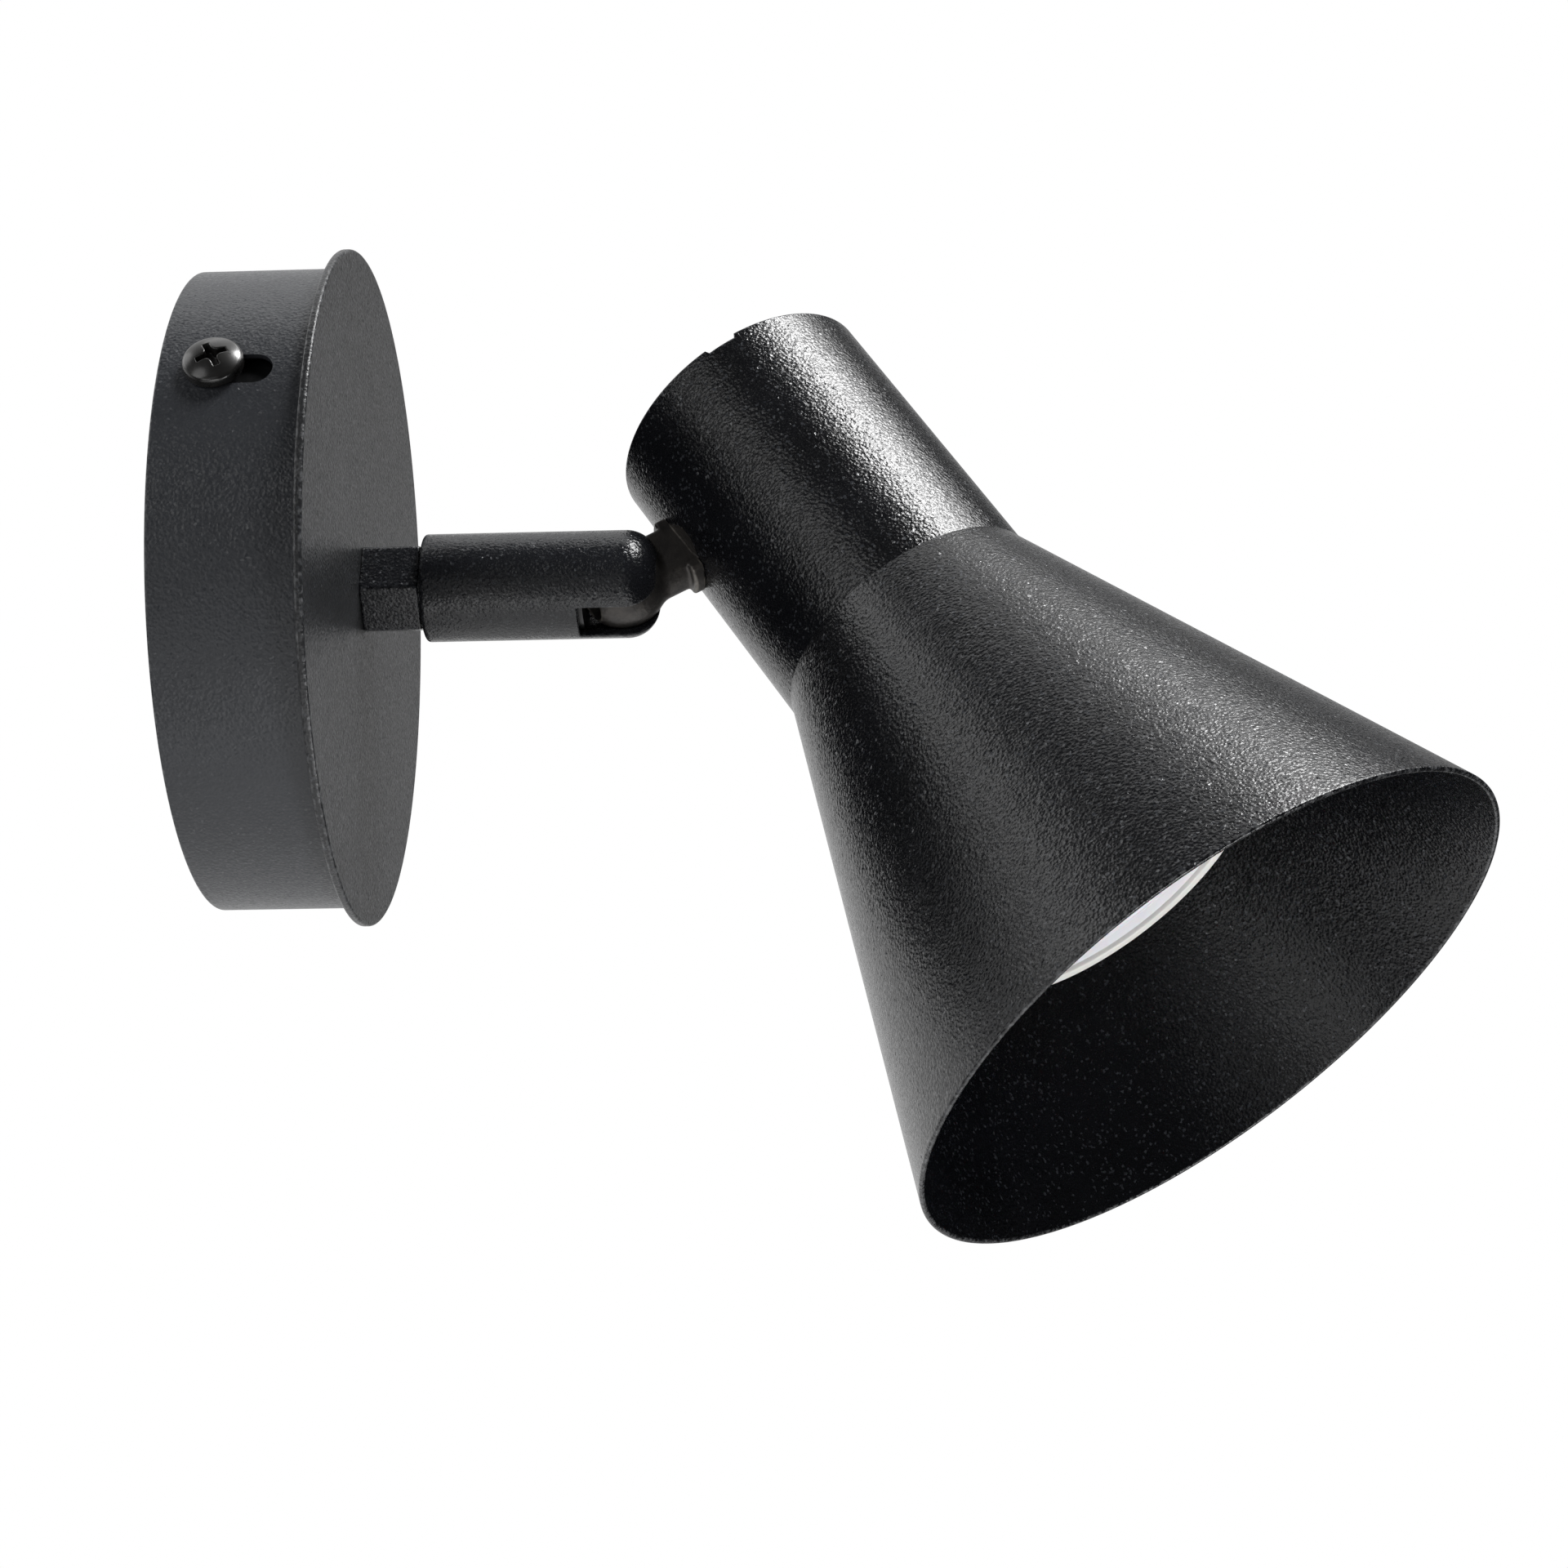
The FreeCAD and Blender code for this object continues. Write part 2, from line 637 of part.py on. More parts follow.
def tail_lock_washer():
    near = STEM_TO_SHADE_AXIS - TAB_PLANE + STRAP_T
    ring = rod_y(TAB_WASHER_R, near, near + TAB_WASHER_T)
    return posed_head(ring.cut(rod_y(THREAD_R, near, near + TAB_WASHER_T)))


def tail_lock_nut():
    near = STEM_TO_SHADE_AXIS - TAB_PLANE + STRAP_T + TAB_WASHER_T
    nut = hexagon_y(TAB_NUT_AF, near, near + TAB_NUT_H)
    return posed_head(nut.cut(rod_y(THREAD_R, near, near + TAB_NUT_H)))


# ---- lampholder and lamp ----

def pin_place(side, angle):
    turn = math.radians(angle)
    return side * PIN_R * math.sin(turn), side * PIN_R * math.cos(turn)


def arc_slot(radius, q_low, q_high, side):
    """Curved channel that a lamp pin follows while the lamp is twisted."""
    band = shade_rod(PIN_R + radius, q_low, q_high).cut(shade_rod(PIN_R - radius, q_low, q_high))
    points = [Vec(0, -STEM_TO_SHADE_AXIS, along_shade(q_low))]
    for angle in (0, TWIST_ANGLE * HALF, TWIST_ANGLE):
        x, y = pin_place(side, angle)
        points.append(Vec(2 * x, 2 * y - STEM_TO_SHADE_AXIS, along_shade(q_low)))
    face = Part.Face(Part.makePolygon(points + [points[0]]))
    slot = band.common(face.extrude(Vec(0, 0, q_low - q_high)))
    for angle in (0, TWIST_ANGLE):
        x, y = pin_place(side, angle)
        slot = slot.fuse(shade_rod(radius, q_low, q_high, x, y))
    return slot


def lampholder():
    """Ceramic bayonet holder with two keyhole channels for the lamp's pins."""
    front = HOLDER_FRONT_Q
    back = HOLDER_BACK_Q
    skin = front - HOLDER_SKIN
    body = shade_rod(HOLDER_R, back, front)
    for side in (-1, 1):
        body = body.cut(arc_slot(CHANNEL_R, skin - CHANNEL_DEPTH, skin, side))
        body = body.cut(arc_slot(NECK_SLOT_R, skin, front, side))
        x, y = pin_place(side, TWIST_ANGLE)
        body = body.cut(shade_rod(CHANNEL_R, skin, front, x, y))
        body = body.cut(shade_rod(M3_R, back, front, side * HOLDER_SCREW_X))
        body = body.cut(shade_rod(M3_HEAD_R, front - M3_HEAD_H, front, side * HOLDER_SCREW_X))
    return posed_head(body)


def holder_screw(side):
    seat_q = HOLDER_FRONT_Q - M3_HEAD_H
    screw = slotted_screw_y(M3_HEAD_R, M3_HEAD_H, M3_R, HOLDER_SCREW_LEN)
    screw = turned(screw, AXIS_X, FULL_TURN / 4)
    place = Vec(side * HOLDER_SCREW_X, -STEM_TO_SHADE_AXIS, along_shade(seat_q))
    return posed_head(moved(screw, place))


def lamp_body():
    """Reflector lamp: two-pin cap, flared housing and front rim, hollow behind the lens."""
    rim = LAMP_RIM_R
    front = LAMP_FRONT_Q
    step = front - LAMP_RIM_H
    floor = front - LENS_RECESS - LENS_T
    seat = LENS_R - LAMP_WALL
    neck = LAMP_BASE_Q + LAMP_NECK_LEN
    cup = LAMP_BASE_Q + LAMP_CUP_LEN
    neck_step = neck + LAMP_BASE_R - LAMP_NECK_R
    outside = [(0, LAMP_BASE_Q), (LAMP_BASE_R, LAMP_BASE_Q), (LAMP_BASE_R, neck_step)]
    outside += [(LAMP_NECK_R, neck), (LAMP_CUP_R, cup)]
    outside += [(rim - LAMP_WALL, step), (rim, step), (rim, front)]
    inside = [(LENS_R, front), (LENS_R, floor), (seat, floor), (seat, step)]
    inside += [(LAMP_CUP_R - LAMP_WALL, cup), (LAMP_NECK_R - LAMP_WALL, neck)]
    inside += [(0, neck)]
    body = shade_lathe(outside + inside)
    for side in (-1, 1):
        x, y = pin_place(side, 0)
        body = body.cut(shade_rod(PIN_NECK_R, LAMP_BASE_Q, LAMP_BASE_Q + PIN_ROOT, x, y))
    return posed_head(body)


def lamp_lens():
    back = LAMP_FRONT_Q - LENS_RECESS - LENS_T
    return posed_head(shade_rod(LENS_R, back, back + LENS_T))


def lamp_pin(side):
    head_top = HOLDER_FRONT_Q - HOLDER_SKIN - MOVE_GAP
    x, y = pin_place(side, 0)
    pin = shade_rod(PIN_NECK_R, head_top - PIN_HEAD_LEN, LAMP_BASE_Q + PIN_ROOT, x, y)
    return posed_head(pin.fuse(shade_rod(PIN_HEAD_R, head_top - PIN_HEAD_LEN, head_top, x, y)))


def write_all(pieces):
    os.makedirs("parts", exist_ok=True)
    for name, shape in pieces.items():
        solids = shape.Solids
        if len(solids) != 1 or not shape.isValid():
            raise RuntimeError(name + " is not one valid solid: %d" % len(solids))
        solids[0].exportStep("parts/" + name + ".step")
        print(name, round(shape.Volume, 1))


PIECES = {
    "canopy_drum": canopy_drum(),
    "faceplate": faceplate(),
    "mounting_bracket": mounting_bracket(),
    "canopy_screw_left": canopy_screw(-1),
    "canopy_screw_right": canopy_screw(1),
    "terminal_block": terminal_block(),
    "terminal_fixing_screw": terminal_fixing_screw(),
    "earth_washer": earth_washer(),
    "earth_screw": earth_screw(),
    "arm_root": arm_root(),
    "root_lock_washer": root_lock_washer(),
    "root_lock_nut": root_lock_nut(),
    "retaining_ring": retaining_ring(),
    "barrel": barrel(),
    "barrel_bush": barrel_bush(),
    "spring_seat": spring_seat(),
    "friction_spring": friction_spring(),
    "friction_cup": friction_cup(),
    "knuckle": knuckle(),
    "shade_sleeve": shade_sleeve(),
    "shade_cone": shade_cone(),
    "rear_cap": rear_cap(),
    "saddle_washer": saddle_washer(),
    "lampholder_strap": lampholder_strap(),
    "tail_lock_washer": tail_lock_washer(),
    "tail_lock_nut": tail_lock_nut(),
    "lampholder": lampholder(),
    "lamp_body": lamp_body(),
    "lamp_lens": lamp_lens(),
}
for pole in (1, 2, 3):
    PIECES["terminal_screw_%d" % pole] = terminal_screw(pole - 2)
for number, side in ((1, -1), (2, 1)):
    PIECES["holder_screw_%d" % number] = holder_screw(side)
    PIECES["lamp_pin_%d" % number] = lamp_pin(side)
write_all(PIECES)
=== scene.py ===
import math

import bpy
import numpy as np
from mathutils import Matrix, Vector


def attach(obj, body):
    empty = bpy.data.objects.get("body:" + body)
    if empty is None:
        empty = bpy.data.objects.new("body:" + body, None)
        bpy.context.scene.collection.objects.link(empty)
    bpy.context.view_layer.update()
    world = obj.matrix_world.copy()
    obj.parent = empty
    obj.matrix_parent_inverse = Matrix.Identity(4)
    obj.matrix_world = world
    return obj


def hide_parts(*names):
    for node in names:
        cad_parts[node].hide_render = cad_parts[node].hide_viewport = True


# Pivoting spotlight wall light. Wall plane at y = 0, room on the -Y side, +Z up.
# Mesh sizes are written in millimetres and turned to metres when a mesh is made.

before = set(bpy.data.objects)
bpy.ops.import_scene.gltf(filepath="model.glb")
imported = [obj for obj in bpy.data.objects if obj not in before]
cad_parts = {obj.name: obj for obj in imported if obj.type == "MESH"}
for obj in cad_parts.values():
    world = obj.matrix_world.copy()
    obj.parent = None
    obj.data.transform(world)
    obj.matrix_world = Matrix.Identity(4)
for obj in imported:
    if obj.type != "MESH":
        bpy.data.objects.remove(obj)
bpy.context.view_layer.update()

# ---- Mounting bracket -------------------------------------------------------
# Strap of 1.5 mm mild steel, pierced and bent up at both ends, zinc plated and passivated black; its
# near-black colour is also painted shade, which keeps the drum's slots dark.
# It is screwed to the wall, and its threaded ears take the two side screws of the canopy.
# The earth screw and its washer on the strap are left bright.

MM = 0.001


def colour(code):
    """Linear colour of an sRGB hex value such as "1d1f22"."""
    parts = [int(code[i:i + 2], 16) / 255 for i in (0, 2, 4)]
    linear = [c / 12.92 if c <= 0.04045 else ((c + 0.055) / 1.055) ** 2.4 for c in parts]
    return (*linear, 1.0)


def add(tree, kind, settings=None, **inputs):
    """Add one node. Inputs are values or other nodes' outputs; _ is a space in a name, _1 is socket 1."""
    node = tree.nodes.new("ShaderNode" + kind)
    for name, value in (settings or {}).items():
        setattr(node, name, value)
    for name, value in inputs.items():
        key = int(name[1:]) if name.startswith("_") else name.replace("_", " ")
        if isinstance(value, bpy.types.NodeSocket):
            tree.links.new(value, node.inputs[key])
        else:
            node.inputs[key].default_value = value
    return node


def finish(name):
    """Empty material and its node tree."""
    material = bpy.data.materials.new(name)
    material.use_nodes = True
    material.node_tree.nodes.clear()
    return material, material.node_tree


def dress(piece, material, angle=30):
    """Give a piece its finish, and shade it smooth except over edges sharper than the angle."""
    piece.data.materials.clear()
    piece.data.materials.append(material)
    piece.data.polygons.foreach_set("use_smooth", [True] * len(piece.data.polygons))
    piece.data.set_sharp_from_angle(angle=math.radians(angle))


# Bright zinc: pale metal with a cloudy spangle in its colour and fine rolling lines in its gloss.
zinc_plate, tree = finish("zinc_plated_steel")
place = add(tree, "TexCoord").outputs["Object"]
cloud = add(tree, "TexNoise", Vector=place, Scale=1 / (6 * MM), Detail=4.0).outputs["Fac"]
lines = add(tree, "Mapping", Vector=place, Scale=(1.0, 1.0, 12.0)).outputs["Vector"]
rolling = add(tree, "TexNoise", Vector=lines, Scale=1 / (1.6 * MM), Detail=3.0).outputs["Fac"]
tint = add(tree, "ValToRGB", Fac=cloud)
tint.color_ramp.elements[0].color = colour("a9adb2")
tint.color_ramp.elements[1].color = colour("d3d4d0")
gloss = add(tree, "MapRange", Value=rolling, To_Min=0.26, To_Max=0.46).outputs["Result"]
relief = add(tree, "Bump", Height=rolling, Strength=0.12, Distance=0.02 * MM).outputs["Normal"]
shader = add(tree, "BsdfPrincipled", Base_Color=tint.outputs["Color"], Roughness=gloss, Normal=relief)
shader.inputs["Metallic"].default_value = 1.0
add(tree, "OutputMaterial", Surface=shader.outputs["BSDF"])

# Black passivated zinc: the same steel under a thin, slightly cloudy dark film with a dull gloss. Its colour
# is set near black partly as painted shade, so that the bracket seen through the drum's slots stays dark.
black_zinc_painted_shade, tree = finish("black_passivated_zinc_painted_shade")
place = add(tree, "TexCoord").outputs["Object"]
cloud = add(tree, "TexNoise", Vector=place, Scale=1 / (5 * MM), Detail=4.0).outputs["Fac"]
film = add(tree, "TexNoise", Vector=place, Scale=1 / (0.9 * MM), Detail=3.0).outputs["Fac"]
tint = add(tree, "ValToRGB", Fac=cloud)
tint.color_ramp.elements[0].color = colour("0f1011")
tint.color_ramp.elements[1].color = colour("1b1c1e")
gloss = add(tree, "MapRange", Value=film, To_Min=0.34, To_Max=0.55).outputs["Result"]
relief = add(tree, "Bump", Height=film, Strength=0.15, Distance=0.02 * MM).outputs["Normal"]
shader = add(tree, "BsdfPrincipled", Base_Color=tint.outputs["Color"], Roughness=gloss, Normal=relief)
shader.inputs["Metallic"].default_value = 0.8
add(tree, "OutputMaterial", Surface=shader.outputs["BSDF"])

dress(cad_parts["mounting_bracket"], black_zinc_painted_shade)
for name in ("earth_washer", "earth_screw"):
    dress(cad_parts[name], zinc_plate)

# ---- Terminal block ---------------------------------------------------------
# Three-pole connector moulded in natural polyamide, with plated clamp screws.
# It is held on the bracket's upper lug by one screw and joins the lamp's leads to the supply.

# Polyamide: slightly translucent ivory plastic, satin, with a faint flow pattern.
polyamide, tree = finish("moulded_polyamide")
place = add(tree, "TexCoord").outputs["Object"]
flow = add(tree, "TexNoise", Vector=place, Scale=1 / (4 * MM), Detail=3.0).outputs["Fac"]
tint = add(tree, "ValToRGB", Fac=flow)
tint.color_ramp.elements[0].color = colour("dcd8cb")
tint.color_ramp.elements[1].color = colour("efece2")
pores = add(tree, "TexNoise", Vector=place, Scale=1 / (0.35 * MM), Detail=2.0).outputs["Fac"]
gloss = add(tree, "MapRange", Value=pores, To_Min=0.38, To_Max=0.52).outputs["Result"]
relief = add(tree, "Bump", Height=pores, Strength=0.15, Distance=0.02 * MM).outputs["Normal"]
shader = add(tree, "BsdfPrincipled", Base_Color=tint.outputs["Color"], Roughness=gloss, Normal=relief)
shader.inputs["IOR"].default_value = 1.53
shader.inputs["Subsurface Weight"].default_value = 0.12
shader.inputs["Subsurface Scale"].default_value = 0.8 * MM
add(tree, "OutputMaterial", Surface=shader.outputs["BSDF"])

# Nickel on brass: a warm pale metal, turned, with fine rings in the gloss.
nickel_brass, tree = finish("nickel_plated_brass")
place = add(tree, "TexCoord").outputs["Object"]
cloud = add(tree, "TexNoise", Vector=place, Scale=1 / (1.2 * MM), Detail=3.0).outputs["Fac"]
tint = add(tree, "ValToRGB", Fac=cloud)
tint.color_ramp.elements[0].color = colour("b8a678")
tint.color_ramp.elements[1].color = colour("cfc6ac")
gloss = add(tree, "MapRange", Value=cloud, To_Min=0.22, To_Max=0.38).outputs["Result"]
relief = add(tree, "Bump", Height=cloud, Strength=0.08, Distance=0.01 * MM).outputs["Normal"]
shader = add(tree, "BsdfPrincipled", Base_Color=tint.outputs["Color"], Roughness=gloss, Normal=relief)
shader.inputs["Metallic"].default_value = 1.0
add(tree, "OutputMaterial", Surface=shader.outputs["BSDF"])

dress(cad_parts["terminal_block"], polyamide)
for pole in (1, 2, 3):
    dress(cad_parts["terminal_screw_%d" % pole], nickel_brass)
dress(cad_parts["terminal_fixing_screw"], zinc_plate)

# ---- Canopy drum ------------------------------------------------------------
# Shallow drum deep-drawn from 0.8 mm steel, open to the wall, with a lip behind the faceplate.
# Two axial slots let it slide on the side screws, in front of the bracket's ears.
# Powder coated in black.

DRUM_R = 47.25
DRUM_DEPTH = 20.8
DRUM_SHEET = 0.8
DRUM_LIP = 6.0
SLOT_W = 5.4
SLOT_DROP = 0.5
SLOT_ENDS = (7.9, 13.4)
SLOT_RIM_POINTS = 40
SLOT_CUT = 3.0
DRUM_SEGMENTS = 288
EAR_TURN = math.radians(37.8)
EAR_END = 13.0
EAR_TIP_END = 17.6
EAR_W = 16.0
EAR_SHEET = 1.5
EAR_CORNER = 1.2
EAR_GAP = 0.2
SIDES = (("left", math.pi), ("right", 0.0))
TO_ROOM = Matrix.Rotation(math.pi / 2, 4, "X")


def rolled(corners, steps=4, hold=0.12):
    """Closed outline through (x, y, corner radius) points, each corner rolled over as powder leaves it."""
    outline = []
    for i, (x, y, radius) in enumerate(corners):
        corner = Vector((x, y))
        back = Vector(corners[i - 1][:2]) - corner
        ahead = Vector(corners[(i + 1) % len(corners)][:2]) - corner
        if radius == 0:
            outline.append((x, y, 0.0))
            continue
        back.normalize()
        ahead.normalize()
        half = back.angle(ahead) / 2
        centre = corner + (back + ahead).normalized() * (radius / math.sin(half))
        first = corner + back * (radius / math.tan(half)) - centre
        last = corner + ahead * (radius / math.tan(half)) - centre
        outline.append((*(centre + first + back * hold), 0.0))
        for k in range(steps + 1):
            outline.append((*(centre + first.slerp(last, k / steps).normalized() * radius), 1.0))
        outline.append((*(centre + last + ahead * hold), 0.0))
    return outline


def piece_of(name, points, faces, place, worn=None):
    """Object from millimetre points, put in place in the row frame, with how worn each point is."""
    mesh = bpy.data.meshes.new(name)
    mesh.from_pydata(points, [], faces)
    mesh.transform(place @ Matrix.Scale(MM, 4))
    if worn is not None:
        attribute = mesh.attributes.new("worn", "FLOAT", "POINT")
        attribute.data.foreach_set("value", worn)
    mesh.update()
    piece = bpy.data.objects.new(name, mesh)
    bpy.context.scene.collection.objects.link(piece)
    return piece


def prism(name, rim, near, far, place):
    """Straight bar along X from near to far, with a rim of (depth in front of the wall, z) points."""
    points = [(x, -depth, z) for x in (near, far) for depth, z in rim]
    count = len(rim)
    faces = [list(range(count)), list(range(2 * count - 1, count - 1, -1))]
    faces += [[k, k + count, (k + 1) % count + count, (k + 1) % count] for k in range(count)]
    return piece_of(name, points, faces, place)


def spun(name, outline, segments, place):
    """Piece of revolution: (radius, height, worn) outline turned about its own Z."""
    points, faces, worn, rows = [], [], [], []
    for x, y, rub in outline:
        if x < 1e-6:
            rows.append([len(points)] * segments)
            points.append((0, 0, y))
            worn.append(rub)
            continue
        rows.append(list(range(len(points), len(points) + segments)))
        for k in range(segments):
            turn = 2 * math.pi * k / segments
            points.append((x * math.cos(turn), x * math.sin(turn), y))
        worn += [rub] * segments
    for a, b in zip(rows, rows[1:] + rows[:1]):
        if a[0] == a[1] and b[0] == b[1]:
            continue
        for k in range(segments):
            n = (k + 1) % segments
            corners = [a[k], a[n], b[n], b[k]]
            faces.append(list(dict.fromkeys(corners)))
    return piece_of(name, points, faces, place, worn)


def cut(piece, tool):
    """Cut the tool out of the piece and throw the tool away."""
    trim = piece.modifiers.new("cut", "BOOLEAN")
    trim.object = tool
    trim.operation = "DIFFERENCE"
    trim.solver = "EXACT"
    graph = bpy.context.evaluated_depsgraph_get()
    made = bpy.data.meshes.new_from_object(piece.evaluated_get(graph), depsgraph=graph)
    piece.modifiers.clear()
    piece.data = made
    bpy.data.objects.remove(tool)


# Textured polyester powder: near-black, satin, with a leathery grain of pimples and fine flakes.
# The grain breaks every highlight into specks, a few flakes lean enough to glint, a few others are painted
# paler (painted glints, as well as pale grains), and edges rub lighter.
# Pimples of half a millimetre and flakes of a third are drawn coarser than real, so that they show.
COAT_CLOUD = 14.0
FLAKE = 0.34
FLAKE_LEAN = 0.11
GLINT_LEAN = 0.42
GLINT_FROM = 0.85
PALE_FROM = 0.94
RUB_PATCH = 0.9


def powder_coat(name, dark, pale, grain, depth, gloss_low, gloss_high):
    """Powder coat with its pimples' size and depth in millimetres and its roughness range."""
    material, tree = finish(name)
    place = add(tree, "TexCoord").outputs["Object"]

    # Pimples: rounded cells with bent walls, and a finer roughness on them.
    drift = add(tree, "TexNoise", Vector=place, Scale=1 / (grain * 1.7 * MM), Detail=2.0).outputs["Color"]
    bent = add(tree, "VectorMath", {"operation": "SCALE"}, _0=drift, Scale=grain * 0.6 * MM).outputs["Vector"]
    warped = add(tree, "VectorMath", {"operation": "ADD"}, _0=place, _1=bent).outputs["Vector"]
    cells = add(tree, "TexVoronoi", {"feature": "SMOOTH_F1"}, Vector=warped, Scale=1 / (grain * MM))
    cells.inputs["Smoothness"].default_value = 0.35
    fine = add(tree, "TexNoise", Vector=place, Scale=1 / (grain * 0.6 * MM), Detail=3.0, Roughness=0.6)
    height = add(tree, "Math", {"operation": "MULTIPLY_ADD"}, _0=fine.outputs["Fac"], _1=0.6,
                 _2=cells.outputs["Distance"]).outputs["Value"]
    relief = add(tree, "Bump", Height=height, Strength=1.0, Distance=depth * MM).outputs["Normal"]

    # Flakes: each leans its own way by a little, and the few glinting ones by more.
    flakes = add(tree, "TexVoronoi", {"feature": "F1"}, Vector=warped, Scale=1 / (FLAKE * MM))
    chance = add(tree, "TexWhiteNoise", Vector=flakes.outputs["Position"]).outputs["Value"]
    lean = add(tree, "MapRange", Value=chance, From_Min=GLINT_FROM, To_Min=FLAKE_LEAN, To_Max=GLINT_LEAN)
    centred = add(tree, "VectorMath", {"operation": "SUBTRACT"}, _0=flakes.outputs["Color"],
                  _1=(0.5, 0.5, 0.5)).outputs["Vector"]
    tilt = add(tree, "VectorMath", {"operation": "SCALE"}, _0=centred, Scale=lean.outputs["Result"])
    leaning = add(tree, "VectorMath", {"operation": "ADD"}, _0=relief, _1=tilt.outputs["Vector"])
    facing = add(tree, "VectorMath", {"operation": "NORMALIZE"}, _0=leaning.outputs["Vector"])

    # Colour: slow clouds, the pale flakes that are painted glints as well as pale grains, and patches of bare
    # grey where the edges are rubbed.
    cloud = add(tree, "TexNoise", Vector=place, Scale=1 / (COAT_CLOUD * MM), Detail=3.0).outputs["Fac"]
    tint = add(tree, "ValToRGB", Fac=cloud)
    tint.color_ramp.elements[0].color = colour(dark)
    tint.color_ramp.elements[1].color = colour(pale)
    tint.color_ramp.elements[0].position = 0.35
    tint.color_ramp.elements[1].position = 0.75
    pale_painted_glint_flake = add(tree, "Math", {"operation": "GREATER_THAN"}, _0=chance, _1=PALE_FROM).outputs["Value"]
    flaked_with_painted_glints = add(tree, "Mix", {"data_type": "RGBA"}, _0=pale_painted_glint_flake, _6=tint.outputs["Color"],
                 _7=colour("303236")).outputs[2]
    rub = add(tree, "Attribute", {"attribute_name": "worn"}).outputs["Fac"]
    patch = add(tree, "TexNoise", Vector=place, Scale=1 / (RUB_PATCH * MM), Detail=3.0).outputs["Fac"]
    bare = add(tree, "MapRange", Value=patch, From_Min=0.45, From_Max=0.7, To_Max=0.7).outputs["Result"]
    rubbed = add(tree, "Math", {"operation": "MULTIPLY"}, _0=rub, _1=bare).outputs["Value"]
    shown = add(tree, "Mix", {"data_type": "RGBA"}, _0=rubbed, _6=flaked_with_painted_glints, _7=colour("6a6b6d")).outputs[2]

    gloss = add(tree, "MapRange", Value=fine.outputs["Fac"], From_Min=0.3, From_Max=0.7,
                To_Min=gloss_low, To_Max=gloss_high).outputs["Result"]
    shader = add(tree, "BsdfPrincipled", Base_Color=shown, Roughness=gloss, Normal=facing.outputs["Vector"])
    shader.inputs["IOR"].default_value = 1.47
    add(tree, "OutputMaterial", Surface=shader.outputs["BSDF"])
    return material


# The drum's copy of the black powder has a lighter base colour than the shade's: painted light, for how
# brightly the drum is lit.
canopy_coat_painted_light = powder_coat("black_powder_coat_canopy_painted_light", "292b2f", "303236", 0.5, 0.055, 0.3, 0.42)

drum_outline = rolled([
    (DRUM_R, 0, 0.25), (DRUM_R, DRUM_DEPTH, 0.35), (DRUM_R - DRUM_LIP, DRUM_DEPTH, 0.2),
    (DRUM_R - DRUM_LIP, DRUM_DEPTH - DRUM_SHEET, 0.2), (DRUM_R - DRUM_SHEET, DRUM_DEPTH - DRUM_SHEET, 0.3),
    (DRUM_R - DRUM_SHEET, 0, 0.25)])
drum = spun("canopy_drum_skin", drum_outline, DRUM_SEGMENTS, TO_ROOM)

# Slots with round ends, cut through the drum's wall over the two ears.
slot_rim = []
for turn in np.linspace(0, 2 * math.pi, SLOT_RIM_POINTS, endpoint=False):
    end = SLOT_ENDS[1 if math.cos(turn) > 0 else 0]
    slot_rim.append((SLOT_W / 2 * math.cos(turn) + end, SLOT_W / 2 * math.sin(turn) + SLOT_DROP))
for _, side in reversed(SIDES):
    slot_place = Matrix.Rotation(EAR_TURN + side, 4, "Y")
    cut(drum, prism("slot_tool", slot_rim, DRUM_R - SLOT_CUT, DRUM_R + SLOT_CUT, slot_place))
dress(drum, canopy_coat_painted_light)
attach(drum, "canopy")
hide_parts("canopy_drum")

# Dark sheets shaped as tips of the bracket's ears, with clipped corners, which reach on behind the slots and
# close them: painted shade, standing in for the shade inside the drum.
ear_face = math.sqrt((DRUM_R - DRUM_SHEET) ** 2 - (EAR_W / 2) ** 2) - EAR_GAP
tip_rim = [
    (EAR_END, -EAR_W / 2), (EAR_TIP_END - EAR_CORNER, -EAR_W / 2), (EAR_TIP_END, EAR_CORNER - EAR_W / 2)]
tip_rim += [(depth, -across) for depth, across in reversed(tip_rim)]
for name, side in SIDES:
    ear_place = Matrix.Rotation(EAR_TURN + side, 4, "Y")
    ear_tip_shade_sheet = prism("bracket_ear_tip_painted_shade_" + name, tip_rim, ear_face - EAR_SHEET, ear_face, ear_place)
    dress(ear_tip_shade_sheet, black_zinc_painted_shade)
    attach(ear_tip_shade_sheet, "canopy")

# ---- Faceplate --------------------------------------------------------------
# Flat disc of 1.2 mm steel, blanked and tumbled, seated on the drum's front lip.
# The arm root's hexagon clamps it, and its coat is rubbed at the rim.

PLATE_R = 50.0
PLATE_T = 1.2
PLATE_BACK = DRUM_DEPTH
PLATE_FRONT = PLATE_BACK + PLATE_T
PLATE_HOLE = 5.1

# The plate's copy of the black powder has a lighter base colour than the shade's: painted light, for the
# light that the plate catches.
plate_coat_painted_light = powder_coat("black_powder_coat_faceplate_painted_light", "1a1b1d", "242527", 0.5, 0.065, 0.3, 0.42)
plate_outline = rolled([
    (PLATE_R, PLATE_BACK, 0.3), (PLATE_R, PLATE_FRONT, 0.4),
    (PLATE_HOLE, PLATE_FRONT, 0.2), (PLATE_HOLE, PLATE_BACK, 0.2)])
plate = spun("faceplate_disc", plate_outline, DRUM_SEGMENTS, TO_ROOM)
dress(plate, plate_coat_painted_light)
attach(plate, "canopy")
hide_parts("faceplate")

# ---- Canopy side screws -----------------------------------------------------
# M4 pan-head screws with a cross recess and a rolled thread, black passivated and oiled.
# Their heads bear on the drum over the slots, and the threads bite in the bracket's ears.

